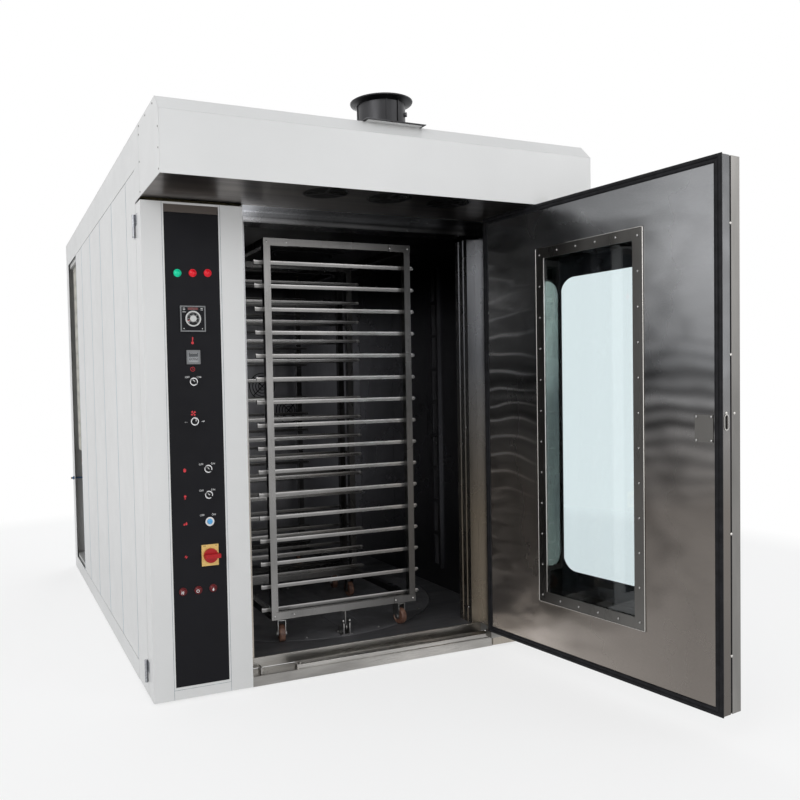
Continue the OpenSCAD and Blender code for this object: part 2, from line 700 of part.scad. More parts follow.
// Bright trim: switch collars and the stainless plate above the panel
module column_trim() color("lightgray") {
    for (s = selectors) on_face(col_l + s[0], y_face - seam, s[1]) difference() {
        cylinder(h = 5, r = 15.5, $fn = 64);
        translate([0, 0, 3]) cylinder(h = 3, r = 12.2, $fn = 48);
        translate([0, 0, -1]) cylinder(h = 8, r = 5 + fit, $fn = 32);
    }
    on_face(col_l + button_at[0], y_face - seam, button_at[1]) difference() {
        cylinder(h = 8, r = 17.5, $fn = 64);
        translate([0, 0, 2]) cylinder(h = 8, r = 11.2, $fn = 48);
        translate([0, 0, -1]) cylinder(h = 8, r = 5 + fit, $fn = 32);
    }
    slab([panel_x0 + 1, y_face, panel_z1 + 1], [panel_x1 - 1, y_face + 3, hood_z - 10 - sheet - seam]);
}

// ---------------------------------------------------------------- door

latch_space = 50;                          // free edge of the door left clear for the latch
tongue_z = [1043, 1083];                   // latch tongue
edge_out = 45;                             // depth of the outer skin's edge
edge_in = 42;                              // depth of the inner skin's edge
win_x1 = door_x1 - win_u0;                 // window frame, door shut
win_x0 = win_x1 - win_w;
pane_t = 6;
glass_x0 = win_x0 + win_b - 12;
glass_x1 = win_x1 - win_b + 12;
glass_z0 = win_z0 + win_b - 12;
glass_z1 = win_z1 - win_b + 12;

// Folded tray with the window cut through it, the open side towards +Y
module door_tray(y, d) difference() {
    slab([door_x0, y, door_z0], [door_x1, y + d, door_z1]);
    slab([door_x0 + sheet, y + sheet, door_z0 + sheet], [door_x1 - sheet, y + d + 1, door_z1 - sheet]);
    slab([win_x0 + win_b, y - 1, win_z0 + win_b], [win_x1 - win_b, y + sheet + 1, win_z1 - win_b]);
}

module door_outer_skin() color("whitesmoke") at_door() door_tray(yf, edge_out);

// Inner skin: the same tray turned to face the chamber, with the latch slot in its free edge
module door_inner_skin() color("silver") at_door() difference() {
    translate([0, door_in + yf, 0]) mirror([0, 1, 0]) door_tray(yf, edge_in);
    slab([door_x0 - 1, door_in - 26, tongue_z[0] - 2], [door_x0 + sheet + 1, door_in - 18, tongue_z[1] + 2]);
}

// Wool core round the window
module door_core() color("khaki") at_door() {
    g = sheet + seam;
    y0 = yf + g;
    y1 = door_in - g;
    slab([door_x0 + g + latch_space, y0, door_z0 + g], [glass_x0 - 4, y1, door_z1 - g]);
    slab([glass_x1 + 4, y0, door_z0 + g], [door_x1 - g, y1, door_z1 - g]);
    slab([glass_x0 - 4 + seam, y0, door_z0 + g], [glass_x1 + 4 - seam, y1, glass_z0 - 4]);
    slab([glass_x0 - 4 + seam, y0, glass_z1 + 4], [glass_x1 + 4 - seam, y1, door_z1 - g]);
}

// Seal round the inner face
module door_gasket() color("black") at_door() {
    y = door_in + seam;
    w = 24;
    x = [door_x0 + 4, door_x1 - 4];
    z = [door_z0 + 4, door_z1 - 4];
    slab([x[0], y, z[0]], [x[0] + w, y + seal_t, z[1]]);
    slab([x[1] - w, y, z[0]], [x[1], y + seal_t, z[1]]);
    slab([x[0] + w + seam, y, z[0]], [x[1] - w - seam, y + seal_t, z[0] + w]);
    slab([x[0] + w + seam, y, z[1] - w], [x[1] - w - seam, y + seal_t, z[1]]);
}

// Inner window frame with its screws, and the polished casing between the panes
module window_frame() color("gray") at_door() {
    y = door_in + seam;
    b = win_b;
    case = b - 2 * sheet;
    sheet_frame([win_x0 + case, yf + sheet + pane_t + 2 * seam, win_z0 + case],
        [win_x1 - case, door_in - sheet - pane_t - 2 * seam, win_z1 - case], sheet);
    slab([win_x0, y, win_z0], [win_x0 + b, y + 4, win_z1]);
    slab([win_x1 - b, y, win_z0], [win_x1, y + 4, win_z1]);
    slab([win_x0 + b + seam, y, win_z0], [win_x1 - b - seam, y + 4, win_z0 + b]);
    slab([win_x0 + b + seam, y, win_z1 - b], [win_x1 - b - seam, y + 4, win_z1]);
    n = 12;
    for (i = [0:n - 1], x = [win_x0 + b / 2, win_x1 - b / 2])
        translate([x, y + 4 + seam + 2, win_z0 + 30 + i * (win_z1 - win_z0 - 60) / (n - 1)])
            rotate([90, 0, 0]) cylinder(h = 2, r = 5, $fn = 24);
    for (i = [1:4], z = [win_z0 + b / 2, win_z1 - b / 2])
        translate([win_x0 + b / 2 + i * (win_w - b) / 5, y + 4 + seam + 2, z])
            rotate([90, 0, 0]) cylinder(h = 2, r = 5, $fn = 24);
}

// Inner and outer panes
module window_glass() color("skyblue", 0.4) at_door() {
    for (y = [door_in - sheet - seam - pane_t, yf + sheet + seam])
        slab([glass_x0, y, glass_z0], [glass_x1, y + pane_t, glass_z1]);
}

latch_z = (tongue_z[0] + tongue_z[1]) / 2;
handle_in = 62;                            // lever's spindle in from the door's free edge
handle_x = door_x0 + handle_in;
latch_plate = [66, 90];                    // cover plate over the latch works
latch_plate_z = latch_z - 66;

// Hinge straps, handle boss and the latch's cover plate
module door_hardware() color("gray") at_door() {
    strap(upper_z[1] + seam, upper_z[2], upper_pin, 16);
    strap(floor_z + 5 + seam, floor_z + 36, lower_pin, 18);
    // cover plate over the latch works, with four screws
    translate([door_x0 + 30, door_in + seam, latch_plate_z]) cube([latch_plate[0], 2, latch_plate[1]]);
    for (x = [6, latch_plate[0] - 6], z = [6, latch_plate[1] - 6])
        translate([door_x0 + 30 + x, door_in + 2 * seam + 4, latch_plate_z + z]) rotate([90, 0, 0])
            cylinder(h = 2, r = 4, $fn = 24);
    // handle boss on the outer face
    translate([handle_x, yf - seam, latch_z]) rotate([90, 0, 0]) difference() {
        cylinder(h = 20, r = 26, $fn = 64);
        translate([0, 0, -1]) cylinder(h = 22, r = 8 + fit, $fn = 32);
    }
}

// A strap from the door's face to a knuckle on the hinge axis
module strap(z0, z1, pin_r, r) difference() {
    union() {
        slab([door_x1 - 70, yf - 12, z0], [door_x1 - 2, yf - seam, z1]);
        slab([door_x1 - 2 - seam, yf - 12, z0], [hinge_x, yf - 4, z1]);
        translate([hinge_x, hinge_y, z0]) cylinder(h = z1 - z0, r = r - seam, $fn = 48);
    }
    translate([hinge_x, hinge_y, z0 - 1]) cylinder(h = z1 - z0 + 2, r = pin_r + fit, $fn = 48);
}

// Lever: spindle, arm and grip
module door_handle() color("black") at_door() {
    translate([handle_x, yf - seam, latch_z]) rotate([90, 0, 0]) {
        cylinder(h = 48, r = 8, $fn = 32);
        translate([0, 0, 20 + seam]) cylinder(h = 28, r = 20, $fn = 48);
        translate([-11, -8, 26]) cube([22, 210, 16]);
        translate([0, 196, 30]) cylinder(h = 42, r = 11, $fn = 32);
        translate([0, 70, 62]) rotate([-90, 0, 0]) cylinder(h = 140, r = 14, $fn = 48);
        translate([0, 84, 30]) cylinder(h = 34, r = 11, $fn = 32);
    }
}

// Tongue that the lever draws back into the door
module latch_tongue() color("silver") at_door()
    slab([door_x0 - 4, door_in - 25, tongue_z[0]], [door_x0 + 24, door_in - 19, tongue_z[1]]);

// ---------------------------------------------------------------- turntable

// Disc on a ribbed underside, with the guide channels that run back from the latch
module turntable() color("dimgray") {
    z1 = floor_z;
    difference() {
        translate([0, 0, z1 - table_t]) cylinder(h = table_t, r = table_r, $fn = 180);
        slab([-14, -table_r + 80, z1 - 2], [14, table_r - 60, z1 + 1]);
        slab([120, -table_r + 160, z1 - 2], [140, table_r - 160, z1 + 1]);
    }
    for (a = [0:45:135]) rotate([0, 0, a])
        translate([-table_r + 20, -4, z1 - 13]) cube([2 * table_r - 40, 8, 13 - table_t + 0.1]);
    translate([0, 0, z1 - 13]) cylinder(h = 12 - table_t + 0.2, r = 120, $fn = 72);
    translate([0, 0, z1 - 31]) cylinder(h = 20, r = 30, $fn = 64);
}

clevis_gap = 12;                           // half the space between the clevis plates
clevis_y = [-table_r + 12, -table_r + 74];

// Clevis that holds the front trolley's loop: two plates with rolled eyes on a foot
module turntable_latch() color("lightgray") {
    z0 = floor_z + seam;
    slab([-clevis_gap - 16, clevis_y[0], z0], [clevis_gap + 16, clevis_y[1], z0 + 4]);
    both_sides() {
        slab([-clevis_gap - 5, clevis_y[0], z0 + 4 + seam], [-clevis_gap, clevis_y[0] + 20, z0 + 52]);
        slab([-clevis_gap - 5, clevis_y[0] + 20 + seam, z0 + 4 + seam], [-clevis_gap, clevis_y[1], z0 + 30]);
        translate([-clevis_gap - 7, clevis_y[0] + 10, z0 + 52 + seam + 8]) rotate([0, 90, 0]) difference() {
            cylinder(h = 7, r = 8, $fn = 40);
            translate([0, 0, -1]) cylinder(h = 9, r = 4, $fn = 32);
        }
        translate([-clevis_gap - 12, clevis_y[1] - 12, z0 + 4 + seam]) cylinder(h = 5, r = 5, $fn = 6);
    }
}

// ---------------------------------------------------------------- trolleys

// Posts, top and bottom frames with riveted corner sleeves. y is the trolley's front face.
module trolley_frame(y) {
    s = seam;
    y1 = y + trolley_d;
    for (x = [-th, th - post], yy = [y, y1 - post])
        bar([x, yy, frame_z + post + s], [x + post, yy + post, trolley_top], post_wall);
    for (z = [frame_z, trolley_top - post]) {
        in = z == frame_z ? 0 : post + s;
        for (yy = [y, y1 - post])
            bar([-th + in, yy, z], [th - in, yy + post, z + post], post_wall);
        for (x = [-th, th - post])
            bar([x, y + post + s, z], [x + post, y1 - post - s, z + post], post_wall);
    }
    // corner sleeves on the front and rear, top and bottom
    for (x = [-th - 1 - s, th - 109], yy = [y - 2 - s, y1 + s], z = [frame_z, trolley_top - post - 2])
        slab([x, yy, z], [x + 110 + s, yy + 2, z + post + 2]);
    for (x = [-th + 96, th - 96], yy = [y - 2 - 2 * s, y1 + 4 + 2 * s], z = [frame_z + 16, trolley_top - 16])
        translate([x, yy, z]) rotate([90, 0, 0]) cylinder(h = 2, r = 5, $fn = 24);
    // caster head plates and the fixed rear forks
    for (x = [-th + caster_in, th - caster_in], yy = [y + caster_in, y1 - caster_in])
        slab([x - 34, yy - 30, frame_z - s - 4], [x + 34, yy + 30, frame_z - s]);
    for (x = [-th + caster_in, th - caster_in]) translate([x, y1 - caster_in, 0]) fork_sides(false);
}

// Two fork cheeks with the axle between them
module fork_sides(swivel) {
    top = frame_z - seam - 4 - seam - (swivel ? 8 : 0);
    for (x = [-wheel_w / 2 - 2 - 3, wheel_w / 2 + 2])
        translate([x, -trail_off(swivel), 0]) {
            slab([0, -15, axle_z], [3, 15 + trail_off(swivel), top - 3 - seam]);
            translate([0, 0, axle_z]) rotate([0, 90, 0]) cylinder(h = 3, r = 15, $fn = 40);
        }
    translate([-wheel_w / 2 - 5, -trail_off(swivel) - 15, top - 3])
        cube([wheel_w + 10, 30 + trail_off(swivel), 3]);
    // axle bolt with its head and nut
    translate([-wheel_w / 2 - 5 - 5, -trail_off(swivel), axle_z]) rotate([0, 90, 0]) {
        cylinder(h = wheel_w + 20, r = 6, $fn = 32);
        cylinder(h = 5, r = 10, $fn = 6);
        translate([0, 0, wheel_w + 15]) cylinder(h = 5, r = 10, $fn = 6);
    }
}
function trail_off(swivel) = swivel ? trail : 0;

// Swivelling fork under its ball race, turned as it stands
module swivel_fork(x, y, a) color("gainsboro") translate([x, y, 0]) rotate([0, 0, a]) {
    fork_sides(true);
    translate([0, 0, frame_z - seam - 4 - seam - 8 + seam]) cylinder(h = 8 - seam, r = 22, $fn = 48);
}

// Phenolic wheel with raised hubs and two tread grooves
module wheel() rotate([0, 90, 0]) rotate_extrude($fn = 72) {
    r = wheel_d / 2;
    h = wheel_w / 2;
    polygon([[6 + fit, -h - 1], [14, -h - 1], [14, -h + 4], [r - 12, -h + 4], [r - 8, -h],
        [r - 3, -h], [r, -h + 5], [r, h - 5], [r - 3, h], [r - 8, h], [r - 12, h - 4],
        [14, h - 4], [14, h + 1], [6 + fit, h + 1]]);
}

// Where a swivelling wheel's centre lies
module at_swivel(x, y, a) translate([x, y, 0]) rotate([0, 0, a]) translate([0, -trail, axle_z]) children();

// Tray rails: an angle whose upright flange faces out, with a stop clip and an end plug
module rail(outer, y, z) {
    x1 = th + rail_past;
    dir = outer ? 1 : -1;
    translate([-x1, y, z]) rotate([90, 0, 90]) linear_extrude(2 * x1)
        polygon([[0, 0], [dir * rail_shelf, 0], [dir * rail_shelf, 2], [dir * 2, 2], [dir * 2, rail_h],
            [0, rail_h]]);
    translate([x1 + seam, y + dir * 8, z + rail_h / 2]) rotate([0, 90, 0]) cylinder(h = 5, r = 7, $fn = 32);
    slab([-x1 - seam - 6, min(y, y + dir * 10), z], [-x1 - seam, max(y, y + dir * 10), z + rail_h + 2]);
}

module trolley_rails(y) for (i = [0:levels - 1]) {
    rail(true, y + post + seam, rail_z0 + i * level_pitch);
    rail(false, y + trolley_d - post - seam, rail_z0 + i * level_pitch);
}

// Loop that drops into the turntable's clevis, on a rod under the front bar
module latch_loop() {
    y = t_front + post / 2;
    slab([-20, y - 12, frame_z - seam - 3], [20, y + 12, frame_z - seam]);
    translate([0, y, floor_z + 46]) cylinder(h = frame_z - 2 * seam - 3 - floor_z - 46, r = 5, $fn = 32);
    translate([0, y, floor_z + 30]) rotate([0, 90, 0]) rotate_extrude($fn = 48)
        translate([13, 0]) circle(r = 4, $fn = 24);
}

module trolley_front_frame() color("silver") { trolley_frame(t_front); latch_loop(); }
module trolley_rear_frame() color("silver") trolley_frame(t_rear);

// ---------------------------------------------------------------- machine compartment

// Combustion drum, tube bank between two headers, flue and stands
module heat_exchanger() color("peru") {
    translate([0, drum_y[1], drum_z]) rotate([90, 0, 0]) difference() {
        cylinder(h = drum_y[1] - drum_y[0], r = drum_r, $fn = 72);
        translate([0, 0, 4]) cylinder(h = drum_y[1] - drum_y[0] - 8, r = drum_r - 4, $fn = 72);
        translate([0, 0, -1]) cylinder(h = 8, r = 70, $fn = 48);
    }
    for (z = [hx_z[0], hx_z[1] - 100]) difference() {
        slab([-hx_x, hx_y0, z], [hx_x, hx_y0 + hx_d, z + 100]);
        slab([-hx_x + 3, hx_y0 + 3, z + 3], [hx_x - 3, hx_y0 + hx_d - 3, z + 97]);
    }
    for (i = [-5:5], j = [1:4]) translate([i * 140, hx_y0 + j * hx_d / 5, hx_z[0] + 100 + seam])
        difference() {
            cylinder(h = hx_z[1] - hx_z[0] - 200 - 2 * seam, r = 38, $fn = 40);
            translate([0, 0, -1]) cylinder(h = hx_z[1] - hx_z[0], r = 36, $fn = 40);
        }
    // flue duct from the drum to the lower header, and the stands
    difference() {
        slab([-70, drum_y[0] + 120, drum_z + drum_r - 20], [70, drum_y[0] + 280, hx_z[0] - seam]);
        slab([-67, drum_y[0] + 123, drum_z + drum_r - 60], [67, drum_y[0] + 277, hx_z[0]]);
        translate([0, drum_y[1], drum_z]) rotate([90, 0, 0])
            cylinder(h = drum_y[1] - drum_y[0], r = drum_r + seam, $fn = 72);
    }
    for (x = [-150, 110]) difference() {
        slab([x, hx_y0 + 60, cross_z + seam], [x + 40, hx_y0 + 60 + tube, drum_z]);
        translate([0, drum_y[1], drum_z]) rotate([90, 0, 0])
            cylinder(h = drum_y[1] - drum_y[0], r = drum_r + seam, $fn = 72);
    }
    for (x = [-700, 660], y = [hx_y0 + 60, hx_y0 + hx_d - 110])
        bar([x, y, cross_z + seam], [x + 40, y + tube, hx_z[0] - seam], 3);
}

burner_w = 130;                            // half width of the burner's body
burner_d = 270;                            // burner's reach from the drum
burner_z = [-110, 130];                    // body's floor and top, from the drum's axis
flange_t = 14;
blast_r = 60;                              // blast tube
blast_h = 90;
blower_r = 80;
blower_h = 90;
motor_r = 28;
motor_h = 60;

// Blown burner on the drum's face, with its fuel pipe to the nipple on the rear post
module burner() color("steelblue") {
    y0 = drum_y[1] + seam + burner_d;
    front = flange_t + blast_h;
    wall = 3;
    pipe_x = -burner_w + 30;
    translate([0, drum_y[1] + seam, drum_z]) {
        rotate([-90, 0, 0]) cylinder(h = flange_t, r = blast_r + 35, $fn = 64);
        translate([0, flange_t, 0]) rotate([-90, 0, 0]) difference() {
            cylinder(h = blast_h, r = blast_r, $fn = 48);
            translate([0, 0, wall]) cylinder(h = blast_h - 2 * wall, r = blast_r - wall, $fn = 48);
        }
        difference() {
            slab([-burner_w, front, burner_z[0]], [burner_w, burner_d, burner_z[1]]);
            slab([-burner_w + wall, front + wall, burner_z[0] + wall],
                [burner_w - wall, burner_d - wall, burner_z[1] - wall]);
        }
        translate([burner_w + seam, burner_d - blower_r, -10]) rotate([0, 90, 0])
            cylinder(h = blower_h, r = blower_r, $fn = 64);
        translate([-burner_w - seam, burner_d - 100, 60]) rotate([0, -90, 0])
            cylinder(h = motor_h, r = motor_r, $fn = 40);
    }
    translate([pipe_x, y0 + seam, nipple_z]) rotate([-90, 0, 0])
        cylinder(h = nipple_y - y0, r = pipe_r, $fn = 32);
    translate([pipe_x, nipple_y, nipple_z]) sphere(r = pipe_r * 1.5, $fn = 32);
    translate([pipe_x, nipple_y, nipple_z]) rotate([0, -90, 0])
        cylinder(h = xs + 22 + pipe_x, r = pipe_r, $fn = 32);
    translate([-xs - seam, nipple_y, nipple_z]) rotate([0, -90, 0]) cylinder(h = 9, r = 11, $fn = 6);
}

fan_z = hood_z + 14;
fan_r = grille_r - 8;

// Motors: one over each hood fan on a bridge, the circulation fan's, and the turntable's gear
module fan_motors() color("darkslategray") {
    for (i = [-1:1]) translate([i * grille_pitch, grille_y, 0]) {
        translate([0, 0, fan_z + 40]) cylinder(h = 60, r = 40, $fn = 48);
        translate([0, 0, fan_z + 5]) cylinder(h = 36, r = 5, $fn = 32);
        for (x = [-104, 98]) slab([x, -15, hood_z + sheet + 2 * seam], [x + 6, 15, fan_z + 34 - seam]);
        slab([-104, -15, fan_z + 34], [104, 15, fan_z + 40]);
    }
    translate([0, hx_y0 + hx_d / 2, 0]) {
        translate([0, 0, hx_z[1] + seam]) cylinder(h = 30, r = 90, $fn = 48);
        translate([0, 0, hx_z[1] + 30]) cylinder(h = 60, r = 14, $fn = 32);
    }
    // gear case under the turntable's spindle, with its motor alongside
    cylinder(h = foot_h, r = 60, $fn = 64);
    slab([-90, -90, foot_h + seam], [90, 90, floor_z - 31 - 2 * seam]);
    slab([-60, 90 + seam, 8], [60, 300, floor_z - 34]);
}

// Axial rotor: hub and five pitched blades
module axial_fan(i) color("black") translate([i * grille_pitch, grille_y, fan_z]) difference() {
    union() {
        cylinder(h = 26, r = 22, $fn = 48);
        for (a = [0:72:288]) rotate([0, 0, a]) translate([18, 0, 13]) rotate([28, 0, 0])
            translate([0, -20, -1.2]) cube([fan_r - 22, 40, 2.4]);
    }
    translate([0, 0, -1]) cylinder(h = 30, r = 5 + fit, $fn = 32);
}

impeller_r = 170;
impeller_h = 60;

// Centrifugal impeller: back plate, ring and twelve backward blades
module circulation_fan() color("gray") translate([0, hx_y0 + hx_d / 2, hx_z[1] + 36]) difference() {
    union() {
        cylinder(h = 4, r = impeller_r, $fn = 96);
        cylinder(h = 50, r = 34, $fn = 48);
        for (a = [0:30:330]) rotate([0, 0, a]) translate([impeller_r - 50, 0, 3]) rotate([0, 0, 35])
            translate([-34, -1.5, 0]) cube([76, 3, impeller_h]);
        translate([0, 0, impeller_h]) difference() {
            cylinder(h = 4, r = impeller_r, $fn = 96);
            translate([0, 0, -1]) cylinder(h = 6, r = impeller_r - 60, $fn = 96);
        }
    }
    translate([0, 0, -1]) cylinder(h = impeller_h, r = 14 + fit, $fn = 48);
}

// Quilted blanket over the heat exchanger, seen in the recess on the left
module rear_lagging() color("lightyellow") {
    x = hx_x + seam;
    z = [hx_z[0], top_strip - 30];
    slab([-x - lagging_t, post_y + tube + seam, z[0]], [-x, hx_y0 + hx_d, z[1]]);
    slab([x, post_y + tube + seam, z[0]], [x + lagging_t, hx_y0 + hx_d, z[1]]);
    slab([-x, hx_y0 + hx_d + seam, z[0]], [x, hx_y0 + hx_d + 40, hx_z[1]]);
    slab([-x + seam, hx_y0 - 40, z[0]], [x - seam, hx_y0 - seam, hx_z[1]]);
}

// Flexible foil duct: a ribbed elbow from the drum's side to the lagging
module foil_duct() color("silver") {
    bend = 120;
    x = -hx_x - seam - lagging_t + duct_r;
    y = recess_start + duct_r;
    z0 = foot_h + base_rail + seam;
    z1 = drum_z - bend;
    translate([x, y, z0]) ribbed(z1 - seam - z0);
    // the elbow is a fan of short rings
    step = 15;
    ring_h = 2 * (bend - duct_r) * tan(step / 2) - seam;
    for (a = [step / 2 : step : 90]) translate([x + bend, y, z1]) rotate([0, a, 0]) translate([-bend, 0, 0])
        difference() {
            translate([0, 0, -ring_h / 2]) cylinder(h = ring_h, r = duct_r, $fn = 48);
            translate([0, 0, -ring_h]) cylinder(h = 2 * ring_h, r = duct_r - 4, $fn = 48);
        }
    translate([x + bend + seam, y, drum_z]) rotate([0, 90, 0]) ribbed(-drum_r - 2 * seam - x - bend);
}

// A corrugated tube
module ribbed(h) difference() {
    union() {
        cylinder(h = h, r = duct_r - 4, $fn = 48);
        for (z = [8 : 20 : h - 12]) translate([0, 0, z]) cylinder(h = 9, r = duct_r, $fn = 48);
    }
    translate([0, 0, -1]) cylinder(h = h + 2, r = duct_r - 6, $fn = 48);
}

// ---------------------------------------------------------------- nodes

fl = [-th + caster_in, th - caster_in];
module fork_of(y, k, turn) swivel_fork(fl[k], y + caster_in, turn[k]);
module front_wheel_of(y, k, turn) color("sienna") at_swivel(fl[k], y + caster_in, turn[k]) wheel();
module rear_wheels_of(y) color("sienna")
    for (x = fl) translate([x, y + trolley_d - caster_in, axle_z]) wheel();

cabinet_frame();
chamber_floor();
chamber_liner();
wall_insulation();
side_panels();
rear_panels();
hood_shell();
hood_underside();
flue_collar();
door_frame();
sill();
column_carcass();
electrics_plate();
heat_exchanger();
burner();
fan_motors();
rear_lagging();
foil_duct();
axial_fan(-1);  // hood_fan_1
axial_fan(0);  // hood_fan_2
axial_fan(1);  // hood_fan_3
circulation_fan();
column_cover();
control_panel();
indicator_lamps();
instruments();
temperature_dial();
knob(0);  // knob_time
knob(1);  // knob_fan
knob(2);  // knob_manual
knob(3);  // knob_light
burner_button();
isolator_plate();
isolator_handle();
column_trim();
door_outer_skin();
door_core();
door_inner_skin();
door_gasket();
window_frame();
window_glass();
door_hardware();
door_handle();
latch_tongue();
turntable();
turntable_latch();
trolley_front_frame();
color("lightgray") trolley_rails(t_front);  // trolley_front_rails
fork_of(t_front, 0, front_swivel);  // trolley_front_fork_left
fork_of(t_front, 1, front_swivel);  // trolley_front_fork_right
front_wheel_of(t_front, 0, front_swivel);  // trolley_front_wheel_left
front_wheel_of(t_front, 1, front_swivel);  // trolley_front_wheel_right
rear_wheels_of(t_front);  // trolley_front_wheels_rear
trolley_rear_frame();
color("lightgray") trolley_rails(t_rear);  // trolley_rear_rails
fork_of(t_rear, 0, rear_swivel);  // trolley_rear_fork_left
fork_of(t_rear, 1, rear_swivel);  // trolley_rear_fork_right
front_wheel_of(t_rear, 0, rear_swivel);  // trolley_rear_wheel_left
front_wheel_of(t_rear, 1, rear_swivel);  // trolley_rear_wheel_right
rear_wheels_of(t_rear);  // trolley_rear_wheels_rear
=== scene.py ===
"""Finish of the rotary rack oven: surfaces, small parts and studio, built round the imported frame.

Lengths are metres, in the frame's own axes: X to the cook's right, Y into the oven, Z up.
"""

import json
import math

import bmesh
import bpy
from mathutils import Matrix, Vector


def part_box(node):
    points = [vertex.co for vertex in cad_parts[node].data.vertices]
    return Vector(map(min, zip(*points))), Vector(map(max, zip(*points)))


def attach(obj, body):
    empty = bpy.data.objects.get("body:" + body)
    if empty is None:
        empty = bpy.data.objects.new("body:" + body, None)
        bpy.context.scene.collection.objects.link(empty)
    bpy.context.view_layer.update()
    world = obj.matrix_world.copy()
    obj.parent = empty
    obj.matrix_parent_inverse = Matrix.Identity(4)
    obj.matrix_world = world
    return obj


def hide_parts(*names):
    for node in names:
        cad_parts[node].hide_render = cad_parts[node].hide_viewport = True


bl_info = {
    "name": "Rotary rack oven",
    "version": (1, 0, 0),
    "blender": (4, 5, 0),
    "location": "View3D > Sidebar > Oven",
    "description": "Dresses the packed oven with its finishes, small parts and studio",
    "category": "Object",
}

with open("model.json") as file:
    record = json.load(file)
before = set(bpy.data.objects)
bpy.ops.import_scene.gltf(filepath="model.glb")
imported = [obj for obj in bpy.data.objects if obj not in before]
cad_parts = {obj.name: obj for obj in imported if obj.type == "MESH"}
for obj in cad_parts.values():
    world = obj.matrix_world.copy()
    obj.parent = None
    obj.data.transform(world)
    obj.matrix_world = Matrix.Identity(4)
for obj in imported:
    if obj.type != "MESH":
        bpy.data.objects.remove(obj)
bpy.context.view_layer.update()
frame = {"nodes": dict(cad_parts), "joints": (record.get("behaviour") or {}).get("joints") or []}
NODES = frame["nodes"]
JOINTS = {joint["name"]: joint for joint in frame["joints"]}
MM = 0.001
REAR_FACE = 826.7 * MM      # inner face of the chamber's rear wall
FLUSH = 0.3 * MM            # height of heads that lie on the faces that bound the whole oven
INK = 0.3 * MM              # thickness of printed signs
MATERIALS = {}              # by name, filled by the finishes
TREES = {}                  # Geometry Nodes trees by name, filled by main


# ------------------------------------------------------------------ material graphs


